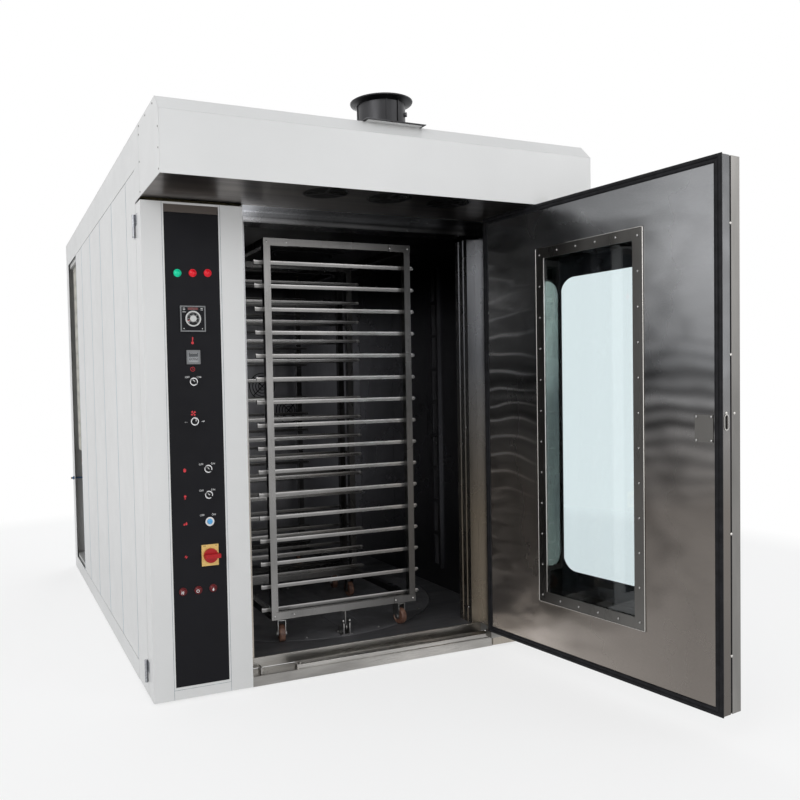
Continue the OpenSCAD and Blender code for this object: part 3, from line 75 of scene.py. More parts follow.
class Graph:
    """One material's nodes, written as short calls. Patterns are laid out in metres. The material
    is kept in MATERIALS under its name."""

    def __init__(self, name):
        self.material = MATERIALS[name] = bpy.data.materials.new(name)
        self.material.use_nodes = True
        self.nodes = self.material.node_tree.nodes
        self.links = self.material.node_tree.links
        self.nodes.clear()
        output = self.nodes.new("ShaderNodeOutputMaterial")
        self.shader = self.nodes.new("ShaderNodeBsdfPrincipled")
        self.links.new(self.shader.outputs["BSDF"], output.inputs["Surface"])
        self.place = self.nodes.new("ShaderNodeTexCoord").outputs["Object"]

    def add(self, kind, inputs=(), **settings):
        """A node of this kind, with its settings and its inputs as (key, value) pairs."""
        node = self.nodes.new(kind)
        for key, value in settings.items():
            setattr(node, key, value)
        for key, value in dict(inputs).items():
            self.feed(node.inputs[key], value)
        return node

    def feed(self, socket, value):
        """Links or sets one socket."""
        if isinstance(value, bpy.types.NodeSocket):
            self.links.new(value, socket)
        else:
            socket.default_value = value

    def set(self, **values):
        """Sets the shader's own sockets, with underscores for the blanks in their names."""
        for key, value in values.items():
            if key in ("Base_Color", "Emission_Color") and not isinstance(value, bpy.types.NodeSocket):
                value = (*value[:3], 1.0)
            self.feed(self.shader.inputs[key.replace("_", " ")], value)

    def noise(self, scale, detail=3.0, stretch=(1, 1, 1), rough=0.5):
        """Noise at so many features a metre, stretched along the axes."""
        spot = self.add("ShaderNodeMapping", {"Vector": self.place, "Scale": stretch})
        node = self.add("ShaderNodeTexNoise", {"Vector": spot.outputs[0], "Scale": scale,
                                               "Detail": detail, "Roughness": rough})
        return node.outputs["Fac"]

    def ramp(self, value, *stops):
        """Value turned into colours or greys by (position, colour) stops."""
        node = self.add("ShaderNodeValToRGB", {"Fac": value})
        marks = node.color_ramp.elements
        while len(marks) < len(stops):
            marks.new(0.5)
        for mark, (position, colour) in zip(marks, stops):
            mark.position = position
            grey = isinstance(colour, (int, float))
            mark.color = (colour, colour, colour, 1) if grey else (*colour, 1)
        return node.outputs["Color"]

    def math(self, operation, a, b=0.0):
        """One operation on two values."""
        return self.add("ShaderNodeMath", {0: a, 1: b}, operation=operation).outputs[0]

    def times(self, a, b):
        """The product of two values."""
        return self.math("MULTIPLY", a, b)

    def plus(self, a, b):
        """The sum of two values."""
        return self.math("ADD", a, b)

    def minus(self, a, b):
        """The difference of two values."""
        return self.math("SUBTRACT", a, b)

    def square_reach(self, a, b):
        """The square of a distance, from its parts along two axes."""
        return self.plus(self.times(a, a), self.times(b, b))

    def mix(self, factor, a, b):
        """Colour a where the factor is 0, colour b where it is 1."""
        node = self.add("ShaderNodeMix", data_type="RGBA")
        self.feed(node.inputs["Factor"], factor)
        for socket, value in ((node.inputs[6], a), (node.inputs[7], b)):
            self.feed(socket, value if isinstance(value, bpy.types.NodeSocket) else (*value[:3], 1))
        return node.outputs[2]

    def axes(self):
        """The X, Y and Z of the place."""
        return self.add("ShaderNodeSeparateXYZ", {0: self.place}).outputs

    def shut_axes(self):
        """The X, Y and Z of the place as it lies with the door shut."""
        turn = self.add("ShaderNodeVectorRotate", {"Vector": self.place, "Center": DOOR_AT.translation,
                                                   "Axis": (0, 0, 1), "Angle": DOOR_SHUT})
        return self.add("ShaderNodeSeparateXYZ", {0: turn.outputs[0]}).outputs

    def between(self, value, low, high):
        """0 below low, 1 above high, and a straight rise between them."""
        span = self.math("DIVIDE", self.minus(value, low), high - low)
        return self.add("ShaderNodeClamp", {"Value": span}).outputs[0]

    def mix_value(self, factor, a, b):
        """Value a where the factor is 0, value b where it is 1."""
        node = self.add("ShaderNodeMix")
        for socket, value in ((node.inputs["Factor"], factor), (node.inputs[2], a), (node.inputs[3], b)):
            self.feed(socket, value)
        return node.outputs[0]

    def gain(self, colour, factor):
        """A colour times a factor."""
        node = self.add("ShaderNodeVectorMath", {0: colour}, operation="SCALE")
        self.feed(node.inputs["Scale"], factor)
        return node.outputs[0]

    def bump(self, height, depth, under=None):
        """A normal raised by height times depth metres, over another one."""
        node = self.add("ShaderNodeBump", {"Height": height, "Distance": depth, "Strength": 1.0})
        if under is not None:
            self.feed(node.inputs["Normal"], under)
        return node.outputs["Normal"]


def shade(colour, gain):
    """A colour made lighter or darker."""
    return tuple(min(1.0, part * gain) for part in colour[:3])


def paint(name, colour, rough=0.38, peel=0.00006, soil=0.04, coat=0.12, gloss=0.5):
    """Powder coat: fine orange peel, and a faint cloudiness that carries a little soil."""
    g = Graph(name)
    cloud = g.noise(2.2, 4)
    peel_grain = g.noise(520, 2)
    body = g.ramp(cloud, (0.3, shade(colour, 1 - soil)), (0.7, shade(colour, 1 + soil * 0.4)))
    g.set(Base_Color=body, Roughness=g.ramp(g.noise(14, 5), (0.3, rough * 0.88), (0.7, rough * 1.12)))
    g.set(Normal=g.bump(peel_grain, peel), Coat_Weight=coat, Coat_Roughness=0.25, Specular_IOR_Level=gloss)


def column_coat(name, colour, steel):
    """The column's powder coat, with bare zinc on the hinge halves outside its left wall."""
    g = Graph(name)
    x, _, _ = g.axes()
    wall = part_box("hood_shell")[0].x
    bare = g.math("LESS_THAN", x, wall - 0.8 * MM)
    skin = g.ramp(g.noise(2.2, 4), (0.3, shade(colour, 0.97)), (0.7, colour))
    metal = g.ramp(g.noise(160, 4), (0.3, shade(steel, 0.7)), (0.7, shade(steel, 1.3)))
    g.set(Base_Color=g.mix(bare, skin, metal), Metallic=bare, Roughness=0.36, Coat_Weight=0.1,
          Normal=g.bump(g.noise(520, 2), 0.00006))


def door_sheet(name, cool, warm):
    """The door's inner sheet: brushed and slightly buckled, with painted reflections: light at the upper free
    edge, dark by the hinge, brownish low down, and painted ripples across the middle with painted glints by
    the hinge."""
    g = Graph(name)
    x, _, z = g.shut_axes()
    reach = g.between(g.times(x, -1.0), -0.625, 0.495)
    buckle = g.minus(g.noise(1.5, 2, (1, 1, 1.4)), 0.5)
    height = g.plus(z, g.times(buckle, 0.22))
    upper = g.between(height, 0.75, 1.25)
    # Painted reflections: bands of light and shade up the sheet, changing across it from hinge to free edge.
    painted_reflection_bands = g.ramp(g.times(height, 0.5), (0.02, 0.72), (0.30, 0.60), (0.44, 0.44), (0.50, 0.42),
                   (0.535, 0.26), (0.565, 0.46), (0.60, 0.26), (0.66, 0.60), (0.80, 1.0), (0.95, 0.8))
    painted_reflection_upper = g.ramp(reach, (0.0, 1.1), (0.2, 0.75), (0.38, 0.42), (0.62, 0.5), (0.9, 0.66))
    painted_reflection_lower = g.ramp(reach, (0.0, 2.4), (0.25, 1.6), (0.45, 0.95), (0.9, 0.62))
    # Painted ripple reflections across the middle of the door.
    painted_ripple_reflection = g.math("SINE", g.times(height, 2 * math.pi * 17))
    centre = g.minus(1.0, g.math("MINIMUM", 1.0, g.math("ABSOLUTE", g.times(g.minus(z, 1.08), 3.2))))
    painted_ripple_reflection = g.times(g.times(painted_ripple_reflection, centre), 0.10)
    tone = g.times(painted_reflection_bands, g.mix_value(upper, painted_reflection_lower, painted_reflection_upper))
    tone = g.plus(tone, painted_ripple_reflection)
    # Painted glints by the hinge at mid height.
    painted_glint = g.math("POWER", g.math("MAXIMUM", 0.0, g.math("SINE", g.times(height, 2 * math.pi * 13))),
                  7.0)
    near = g.times(g.minus(1.0, g.between(reach, 0.1, 0.3)),
                  g.minus(1.0, g.between(g.math("ABSOLUTE", g.minus(z, 1.12)), 0.2, 0.5)))
    tone = g.plus(tone, g.times(g.times(painted_glint, near), 1.5))
    scratch = g.noise(900, 4, (1, 0.012, 1), 0.65)
    tone = g.times(tone, g.ramp(scratch, (0.25, 0.9), (0.75, 1.1)))
    # Painted light on the free edge, strongest at mid height.
    free_edge = -0.4925
    edge = g.math("LESS_THAN", x, free_edge)
    tone = g.mix_value(edge, tone, g.ramp(g.times(z, 0.5), (0.1, 0.26), (0.5, 0.36), (0.95, 0.2)))
    # The cool upper and brownish lower colours mixed here are painted reflections too.
    g.set(Base_Color=g.gain(g.mix(upper, warm, cool), tone), Metallic=1.0,
          Roughness=g.ramp(g.noise(3.0, 5, (1, 1, 0.6)), (0.3, 0.2), (0.7, 0.32)),
          Normal=g.bump(scratch, 0.00002, g.bump(g.noise(2.2, 2, (1, 1, 2)), 0.02)))


def brushed(name, colour, along="Z", rough=0.28, contrast=0.16, wave=0.0, wave_scale=2.0, tint=None,
            grain=900.0):
    """Brushed sheet: long fine scratches along one axis, soft smears and, where asked, a wavy
    surface that bends its reflections."""
    g = Graph(name)
    stretch = {"X": (0.012, 1, 1), "Y": (1, 0.012, 1), "Z": (1, 1, 0.012)}[along]
    scratch = g.noise(grain, 4, stretch, 0.65)
    smear = g.noise(3.0, 5, {"X": (0.5, 2, 2), "Y": (2, 0.5, 2), "Z": (2, 2, 0.5)}[along])
    low, high = shade(colour, 1 - contrast), shade(colour, 1 + contrast)
    skin = g.ramp(scratch, (0.25, low), (0.75, high))
    cloud = g.ramp(smear, (0.32, 0.0), (0.68, 1.0))
    if tint:
        skin = g.mix(cloud, skin, tint)
    spread = g.ramp(smear, (0.3, rough * 0.8), (0.7, rough * 1.3))
    finish = g.plus(spread, g.times(scratch, 0.08))
    normal = g.bump(scratch, 0.00002)
    if wave:
        normal = g.bump(g.noise(wave_scale, 2, {"X": (0.35, 1, 1.6), "Y": (1, 0.35, 1.6),
                                                "Z": (1.6, 1.6, 0.35)}[along]), wave, normal)
    g.set(Base_Color=skin, Roughness=finish, Metallic=1.0, Normal=normal)


def doorway_sheet(name, colour):
    """The door frame's brushed sheet, with painted reflections: the header is light at its left and fading to
    the right, the jambs are lightest at their ends, cool above and brownish below."""
    g = Graph(name)
    x, _, z = g.axes()
    bend = g.times(g.minus(g.noise(2.2, 2), 0.5), 0.3)
    # Painted reflections on the jambs: lightest at their ends.
    jamb = g.ramp(g.times(g.plus(z, bend), 0.5), (0.05, 0.75), (0.28, 0.62), (0.42, 0.55),
                  (0.66, 0.6), (0.86, 0.85))
    # Painted light on the header, fading to painted shade towards the right.
    header = g.ramp(g.between(x, -0.5, 0.6), (0.03, 1.0), (0.1, 0.45), (0.3, 0.12), (0.8, 0.07))
    streaks = g.ramp(g.noise(46, 2, (0.01, 0.01, 1)), (0.36, 0.4), (0.64, 1.8))
    header = g.times(header, streaks)
    header_foot = 1.862
    tone = g.mix_value(g.math("GREATER_THAN", z, header_foot), jamb, header)
    scratch = g.noise(900, 4, (1, 1, 0.012), 0.65)
    tone = g.times(tone, g.ramp(scratch, (0.25, 0.88), (0.75, 1.12)))
    # Painted reflections: cool above, brownish below.
    skin = g.mix(g.between(z, 0.6, 1.3), (colour[0], colour[1] * 0.94, colour[2] * 0.86),
                 (colour[0] * 0.94, colour[1] * 0.98, colour[2] * 1.06))
    g.set(Base_Color=g.gain(skin, tone), Metallic=1.0,
          Roughness=g.ramp(g.noise(4, 4), (0.3, 0.2), (0.7, 0.32)),
          Normal=g.bump(scratch, 0.00002, g.bump(g.noise(3, 2, (1, 1, 0.5)), 0.006)))


def rack_tube(name, colour):
    """The trolleys' square tube: satin steel with a painted sheen fading to the right, and dull patches."""
    g = Graph(name)
    x, _, _ = g.axes()
    patch = g.noise(2.6, 3, (2, 2, 1))
    # Painted sheen: light on the left, fading to painted shade on the right.
    painted_sheen = g.ramp(g.between(g.plus(x, g.times(g.minus(patch, 0.5), 0.3)), -0.37, 0.37),
                  (0.0, 1.0), (0.45, 0.62), (0.85, 0.36))
    scratch = g.noise(700, 4, (1, 1, 0.015), 0.65)
    tone = g.times(painted_sheen, g.ramp(scratch, (0.25, 0.84), (0.75, 1.16)))
    tone = g.times(tone, g.ramp(patch, (0.35, 0.72), (0.6, 1.1)))
    g.set(Base_Color=g.gain(g.ramp(patch, (0.3, colour), (0.7, shade(colour, 0.94))), tone), Metallic=1.0,
          Roughness=g.ramp(patch, (0.3, 0.22), (0.7, 0.34)), Normal=g.bump(scratch, 0.00003))


def rack_rail(name, colour):
    """Tray rails: a painted highlight on each rail's upper edge over a flange in painted shade, at every step
    of the ladder.
    """
    g = Graph(name)
    _, _, z = g.axes()
    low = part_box("trolley_front_rails")[0].z
    step = g.math("FRACT", g.times(g.minus(z, low), 10.0))
    # Painted highlight along each rail's top, with painted shade below it.
    painted_top_highlight = g.ramp(step, (0.0, 0.42), (0.10, 0.5), (0.13, 1.0), (0.2, 1.0))
    scratch = g.noise(700, 4, (0.015, 1, 1), 0.65)
    tone = g.times(painted_top_highlight, g.ramp(scratch, (0.25, 0.84), (0.75, 1.14)))
    g.set(Base_Color=g.gain(g.ramp(g.noise(6, 4), (0.3, shade(colour, 0.8)), (0.7, colour)), tone),
          Metallic=1.0, Roughness=g.ramp(scratch, (0.3, 0.24), (0.7, 0.34)), Normal=g.bump(scratch, 0.00003))


def plastic(name, colour, rough=0.35, grain=0.00004, coat=0.0, gloss=0.5):
    """Moulded plastic with a fine grain and a faint change of shade."""
    g = Graph(name)
    skin = g.ramp(g.noise(60, 3), (0.3, shade(colour, 0.92)), (0.7, shade(colour, 1.06)))
    g.set(Base_Color=skin, Roughness=g.ramp(g.noise(300, 2), (0.3, rough * 0.85), (0.7, rough * 1.15)))
    g.set(Normal=g.bump(g.noise(1500, 2), grain), Coat_Weight=coat, Specular_IOR_Level=gloss)


def lens(name, colour, glow=0.0):
    """A moulded lamp lens: glossy over ribs that catch the light."""
    g = Graph(name)
    ribs = g.noise(420, 1)
    g.set(Base_Color=g.ramp(g.noise(160, 2), (0.3, shade(colour, 0.7)), (0.7, shade(colour, 1.25))),
          Roughness=0.16, Coat_Weight=0.6, Coat_Roughness=0.08, Normal=g.bump(ribs, 0.0002))
    if glow:
        g.set(Emission_Color=colour, Emission_Strength=glow)


def print_ink(name, colour):
    """Screen-printed ink with a dry edge."""
    g = Graph(name)
    g.set(Base_Color=g.ramp(g.noise(900, 3), (0.25, shade(colour, 0.8)), (0.6, colour)), Roughness=0.5,
          Normal=g.bump(g.noise(2500, 1), 0.00001))


def rubber(name, colour=(0.007, 0.007, 0.008)):
    """Silicone seal: a matt skin with a dusty bloom."""
    g = Graph(name)
    bloom = g.noise(35, 5)
    g.set(Base_Color=g.ramp(bloom, (0.35, colour), (0.85, shade(colour, 2.6))), Specular_IOR_Level=0.14,
          Roughness=g.ramp(g.noise(9, 3), (0.3, 0.42), (0.7, 0.62)), Normal=g.bump(g.noise(800, 2), 0.00008))


def quilted(name, colour):
    """Glass-cloth blanket: square quilting over a coarse weave, with painted shade along the quilting lines
    and in the hollows of the folds.
    """
    g = Graph(name)
    _, y, z = g.axes()
    pitch = 11.0
    quilt = None
    for line in (y, z):
        wave = g.math("ABSOLUTE", g.math("SINE", g.times(line, pitch * math.pi)))
        quilt = wave if quilt is None else g.times(quilt, wave)
    weave = g.noise(700, 3, (1, 1, 0.3))
    folds = g.noise(9, 4, (1, 2.5, 0.6))
    # Painted shade: darker along the quilting lines and in the folds' hollows.
    skin = g.ramp(g.plus(g.times(quilt, 0.55), g.times(folds, 0.6)),
                  (0.2, shade(colour, 0.62)), (0.75, colour))
    normal = g.bump(weave, 0.0004, g.bump(folds, 0.02, g.bump(quilt, 0.02)))
    g.set(Base_Color=skin, Roughness=0.85, Normal=normal, Sheen_Weight=0.2)


def crinkled(name, colour):
    """Crumpled foil, with painted shade in the hollows of its folds."""
    g = Graph(name)
    cells = g.add("ShaderNodeTexVoronoi", {"Vector": g.place, "Scale": 55.0}, feature="F1")
    folds = g.noise(70, 4)
    # Painted shade: the foil is darker where its folds sink.
    g.set(Base_Color=g.ramp(folds, (0.3, shade(colour, 0.7)), (0.7, colour)), Metallic=1.0,
          Roughness=g.ramp(folds, (0.3, 0.2), (0.7, 0.36)),
          Normal=g.bump(folds, 0.005, g.bump(cells.outputs["Distance"], 0.006)))


def wool(name, colour):
    """Mineral wool: long matted fibres."""
    g = Graph(name)
    fibre = g.noise(260, 6, (1, 1, 0.2))
    g.set(Base_Color=g.ramp(fibre, (0.3, shade(colour, 0.6)), (0.7, colour)), Roughness=0.95,
          Normal=g.bump(fibre, 0.003))


def turned(name, colour, rough=0.36):
    """Turned or rolled steel disc: rings about the turntable's axis, scuffs and heat tint."""
    g = Graph(name)
    x, y, _ = g.axes()
    radius = g.math("SQRT", g.square_reach(x, y))
    rings = g.add("ShaderNodeTexNoise", {"Vector": g.add("ShaderNodeCombineXYZ", {0: radius}).outputs[0],
                                         "Scale": 260.0, "Detail": 3.0}).outputs["Fac"]
    scuffs = g.noise(7, 6)
    skin = g.mix(g.ramp(scuffs, (0.4, 0.0), (0.75, 0.7)), g.ramp(rings, (0.3, shade(colour, 0.8)),
                 (0.7, shade(colour, 1.2))), shade(colour, 0.45))
    g.set(Base_Color=skin, Metallic=1.0, Roughness=g.ramp(scuffs, (0.3, rough), (0.75, rough * 1.9)),
          Normal=g.bump(rings, 0.00004))


def glass(name, colour):
    """Float glass with a faint tint and wipe marks."""
    g = Graph(name)
    g.set(Base_Color=g.ramp(g.noise(3, 3, (1, 1, 0.4)), (0.35, shade(colour, 0.995)), (0.8, colour)),
          Roughness=0.0, Transmission_Weight=1.0, IOR=1.45)


def phenolic(name, colour, band):
    """Brown resin wheel: mottled, with lighter patches of wear."""
    g = Graph(name)
    mottle = g.noise(240, 4)
    skin = g.mix(g.ramp(g.noise(40, 3), (0.45, 0.0), (0.62, 1.0)),
                 g.ramp(mottle, (0.3, shade(colour, 0.7)), (0.7, shade(colour, 1.2))), band)
    g.set(Base_Color=skin, Roughness=0.48, Normal=g.bump(mottle, 0.0002))


def heat_steel(name, colour, warm):
    """Heat-tinted steel of the exchanger."""
    g = Graph(name)
    cloud = g.noise(1.7, 5)
    scratch = g.noise(500, 4, (1, 1, 0.02), 0.6)
    skin = g.mix(g.ramp(cloud, (0.35, 0.0), (0.7, 1.0)), g.ramp(scratch, (0.3, shade(colour, 0.8)),
                 (0.7, shade(colour, 1.2))), warm)
    g.set(Base_Color=skin, Metallic=1.0, Roughness=g.ramp(cloud, (0.3, 0.24), (0.7, 0.4)),
          Normal=g.bump(scratch, 0.00003, g.bump(g.noise(2.5, 2, (1, 1, 0.4)), 0.004)))


# ------------------------------------------------------------------ mesh helpers


def finish_piece(name, mesh, body, skin):
    """A mesh as a named piece in the named material, riding on its body."""
    piece = bpy.data.objects.new(name, mesh)
    bpy.context.scene.collection.objects.link(piece)
    if not mesh.materials:
        mesh.materials.append(MATERIALS[skin])
    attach(piece, body)
    return piece


def mesh_of(name, build):
    """A mesh made by a function that fills a bmesh, with its faces turned outwards."""
    form = bmesh.new()
    build(form)
    bmesh.ops.remove_doubles(form, verts=form.verts, dist=1e-6)
    bmesh.ops.recalc_face_normals(form, faces=form.faces)
    mesh = bpy.data.meshes.new(name)
    form.to_mesh(mesh)
    form.free()
    return mesh


def make_piece(name, build, body, skin, place=None, smooth=False):
    """A piece made by a function that fills a bmesh. place moves it to where it lies."""
    mesh = mesh_of(name, build)
    if place:
        mesh.transform(place)
    for polygon in mesh.polygons:
        polygon.use_smooth = smooth
    if smooth:
        mesh.set_sharp_from_angle(angle=math.radians(40))
    return finish_piece(name, mesh, body, skin)


def add_slab(form, low, high):
    """A closed block between two corners."""
    middle = [(a + b) / 2 for a, b in zip(low, high)]
    size = [abs(b - a) for a, b in zip(low, high)]
    bmesh.ops.create_cube(form, size=1.0,
                          matrix=Matrix.Translation(middle) @ Matrix.Diagonal((*size, 1)))


def add_prism(form, outline, thickness, place):
    """A flat outline raised to a plate. place turns the outline's plane to where it lies."""
    bottom = [form.verts.new(place @ Vector((x, y, 0))) for x, y in outline]
    top = [form.verts.new(place @ Vector((x, y, thickness))) for x, y in outline]
    count = len(outline)
    form.faces.new(bottom[::-1])
    form.faces.new(top)
    for i in range(count):
        j = (i + 1) % count
        form.faces.new((bottom[i], bottom[j], top[j], top[i]))


def add_band(form, inner, outer, thickness, place):
    """A flat closed band between two outlines that have as many points each."""
    count = len(outer)
    for i in range(count):
        j = (i + 1) % count
        if (Vector(outer[i]) - Vector(outer[j])).length < 1e-9:
            continue
        corners = (outer[i], outer[j], inner[j], inner[i])
        low = [form.verts.new(place @ Vector((x, y, 0))) for x, y in corners]
        high = [form.verts.new(place @ Vector((x, y, thickness))) for x, y in corners]
        form.faces.new(low[::-1])
        form.faces.new(high)
        form.faces.new((low[0], low[1], high[1], high[0]))
        form.faces.new((low[2], low[3], high[3], high[2]))


def add_ring(form, inner, outer, thickness, place, steps):
    """A flat round ring between two radii in millimetres."""
    add_band(form, disc(inner * MM, steps=steps), disc(outer * MM, steps=steps), thickness, place)


def add_words(form, words, size, place):
    """Adds lettering, centred, with a thin body, once it is a mesh."""
    data = bpy.data.curves.new("words", "FONT")
    data.body = words
    data.size = size
    data.align_x = "CENTER"
    data.align_y = "CENTER"
    data.resolution_u = 3
    data.extrude = 0.12 * MM
    holder = bpy.data.objects.new("words", data)
    bpy.context.scene.collection.objects.link(holder)
    graph = bpy.context.evaluated_depsgraph_get()
    mesh = bpy.data.meshes.new_from_object(holder.evaluated_get(graph))
    bpy.data.objects.remove(holder)
    mesh.transform(place)
    form.from_mesh(mesh)
    bpy.data.meshes.remove(mesh)


def arc(radius, start=0.0, stop=360.0, steps=24, centre=(0.0, 0.0)):
    """Points along an arc, in degrees."""
    return [(centre[0] + radius * math.cos(math.radians(start + (stop - start) * k / steps)),
             centre[1] + radius * math.sin(math.radians(start + (stop - start) * k / steps)))
            for k in range(steps + 1)]


def disc(radius, centre=(0.0, 0.0), steps=32):
    """A round outline."""
    return arc(radius, 0, 360 - 360 / steps, steps - 1, centre)


def in_mm(points):
    """An outline given in millimetres."""
    return [(a * MM, b * MM) for a, b in points]


def oblong(x0, z0, x1, z1):
    """A rectangle's outline, given in millimetres."""
    return in_mm(((x0, z0), (x1, z0), (x1, z1), (x0, z1)))


def upright(x, y, z, turn=0.0):
    """Stands a drawing up: X to the right, Y up, Z to the cook."""
    return (Matrix.Translation((x, y, z)) @ Matrix.Rotation(math.radians(90), 4, "X")
            @ Matrix.Rotation(math.radians(turn), 4, "Z"))


def on_column(x, z, lift=0.0):
    """Stands a drawing on the control column's face. x and z are in millimetres."""
    return upright(x * MM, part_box("control_panel")[0].y - lift, z * MM)


DOOR_AT = Matrix.Translation(JOINTS["door_hinge"]["pos_m"])
DOOR_SHUT = math.radians(JOINTS["door_hinge"]["range_deg"][0])
DOOR = DOOR_AT @ Matrix.Rotation(-DOOR_SHUT, 4, "Z") @ DOOR_AT.inverted()
TO_COOK = DOOR.to_3x3() @ Vector((0, 1, 0))     # out of the door's inner face


def shut_box(*names):
    """Lowest and highest corner of door nodes, as they lie with the door shut."""
    back = DOOR.inverted()
    spots = [back @ v.co for name in names for v in NODES[name].data.vertices]
    return (Vector(min(s[k] for s in spots) for k in range(3)),
            Vector(max(s[k] for s in spots) for k in range(3)))


def shut(x, y, z):
    """A place on the door, given in millimetres with the door shut."""
    return DOOR @ Vector((x * MM, y * MM, z * MM))


def rect_path(x0, x1, z0, z1, y):
    """Corners of a standing rectangle on the door, in millimetres with the door shut."""
    return [shut(x0, y, z0), shut(x1, y, z0), shut(x1, y, z1), shut(x0, y, z1)]


# ------------------------------------------------------------------ repeated and swept parts


def start_tree(name, **sizes):
    """A tree whose inputs are a mesh, these sizes and a material, and its input node."""
    tree = bpy.data.node_groups.new(name, "GeometryNodeTree")
    face = tree.interface
    face.new_socket("Geometry", in_out="INPUT", socket_type="NodeSocketGeometry")
    for label, value in sizes.items():
        face.new_socket(label, in_out="INPUT", socket_type="NodeSocketFloat").default_value = value
    face.new_socket("Material", in_out="INPUT", socket_type="NodeSocketMaterial")
    face.new_socket("Geometry", in_out="OUTPUT", socket_type="NodeSocketGeometry")
    return tree, tree.nodes.new("NodeGroupInput")


def end_tree(tree, source, shape):
    """Makes the shape real, gives it its material and passes it out."""
    nodes, link = tree.nodes, tree.links.new
    real = nodes.new("GeometryNodeRealizeInstances")
    coat = nodes.new("GeometryNodeSetMaterial")
    link(shape, real.inputs["Geometry"])
    link(real.outputs["Geometry"], coat.inputs["Geometry"])
    link(source.outputs["Material"], coat.inputs["Material"])
    link(coat.outputs["Geometry"], nodes.new("NodeGroupOutput").inputs["Geometry"])
    return tree


def repeat_tree(name, build_part):
    """A tree that sets a part on every point of a mesh, turned by its "facing" attribute. The
    part comes from build_part, which adds its nodes and returns the geometry socket."""
    tree, source = start_tree(name, Radius=5.0 * MM, Height=2.0 * MM)
    facing = tree.nodes.new("GeometryNodeInputNamedAttribute")
    facing.data_type = "FLOAT_VECTOR"
    facing.inputs["Name"].default_value = "facing"
    turn = tree.nodes.new("FunctionNodeAlignRotationToVector")
    turn.axis = "Z"
    spread = tree.nodes.new("GeometryNodeInstanceOnPoints")
    link = tree.links.new
    link(facing.outputs["Attribute"], turn.inputs["Vector"])
    link(turn.outputs["Rotation"], spread.inputs["Rotation"])
    link(source.outputs["Geometry"], spread.inputs["Points"])
    link(build_part(tree, source), spread.inputs["Instance"])
    return end_tree(tree, source, spread.outputs["Instances"])


def dome_head(tree, source):
    """A domed screw or rivet head: half of a flattened ball, the other half in its carrier."""
    nodes, link = tree.nodes, tree.links.new
    ball = nodes.new("GeometryNodeMeshUVSphere")
    ball.inputs["Segments"].default_value = 20
    ball.inputs["Rings"].default_value = 10
    link(source.outputs["Radius"], ball.inputs["Radius"])
    ratio = nodes.new("ShaderNodeMath")
    ratio.operation = "DIVIDE"
    link(source.outputs["Height"], ratio.inputs[0])
    link(source.outputs["Radius"], ratio.inputs[1])
    flat = nodes.new("ShaderNodeCombineXYZ")
    flat.inputs[0].default_value = 1.0
    flat.inputs[1].default_value = 1.0
    link(ratio.outputs[0], flat.inputs[2])
    press = nodes.new("GeometryNodeTransform")
    link(ball.outputs["Mesh"], press.inputs["Geometry"])
    link(flat.outputs[0], press.inputs["Scale"])
    smooth = nodes.new("GeometryNodeSetShadeSmooth")
    link(press.outputs["Geometry"], smooth.inputs["Geometry"])
    return smooth.outputs["Geometry"]


def drum_head(tree, source):
    """A short round plug or six-sided bolt head, by the tree's name."""
    drum = tree.nodes.new("GeometryNodeMeshCylinder")
    drum.inputs["Vertices"].default_value = 24 if "round" in tree.name else 6
    tree.links.new(source.outputs["Radius"], drum.inputs["Radius"])
    tree.links.new(source.outputs["Height"], drum.inputs["Depth"])
    return drum.outputs["Mesh"]


def sweep_tree(name):
    """A tree that sweeps a round section along the edges of a mesh, with rounded corners."""
    tree, source = start_tree(name, Radius=5.0 * MM, Corner=10.0 * MM)
    nodes, link = tree.nodes, tree.links.new
    path = nodes.new("GeometryNodeMeshToCurve")
    corner = nodes.new("GeometryNodeFilletCurve")
    corner.mode = "POLY"
    corner.inputs["Count"].default_value = 6
    section = nodes.new("GeometryNodeCurvePrimitiveCircle")
    section.inputs["Resolution"].default_value = 12
    tube = nodes.new("GeometryNodeCurveToMesh")
    tube.inputs["Fill Caps"].default_value = True
    smooth = nodes.new("GeometryNodeSetShadeSmooth")
    link(source.outputs["Geometry"], path.inputs[0])
    link(path.outputs[0], corner.inputs["Curve"])
    link(source.outputs["Corner"], corner.inputs["Radius"])
    link(corner.outputs["Curve"], tube.inputs["Curve"])
    link(source.outputs["Radius"], section.inputs["Radius"])
    link(section.outputs["Curve"], tube.inputs["Profile Curve"])
    link(tube.outputs["Mesh"], smooth.inputs["Geometry"])
    return end_tree(tree, source, smooth.outputs["Geometry"])


def run_tree(name, tree, line, sizes, skin, body):
    """Runs a tree over a mesh and keeps the result as one plain piece."""
    holder = bpy.data.objects.new(line.name, line)
    bpy.context.scene.collection.objects.link(holder)
    modifier = holder.modifiers.new(tree.name, "NODES")
    modifier.node_group = tree
    values = {**sizes, "Material": MATERIALS[skin]}
    for item in tree.interface.items_tree:
        if item.in_out == "INPUT" and item.name in values:
            modifier[item.identifier] = values[item.name]
    graph = bpy.context.evaluated_depsgraph_get()
    mesh = bpy.data.meshes.new_from_object(holder.evaluated_get(graph))
    bpy.data.objects.remove(holder)
    bpy.data.meshes.remove(line)
    mesh.name = name
    return finish_piece(name, mesh, body, skin)


def set_repeats(name, tree, spots, radius, height, skin, body="cabinet"):
    """Sets the tree's part at each (place, direction)."""
    points = bpy.data.meshes.new(name + "_points")
    points.from_pydata([tuple(place) for place, _ in spots], [], [])
    facing = points.attributes.new("facing", "FLOAT_VECTOR", "POINT")
    for k, (_, direction) in enumerate(spots):
        facing.data[k].vector = Vector(direction).normalized()
    run_tree(name, TREES[tree], points, {"Radius": radius, "Height": height}, skin, body)


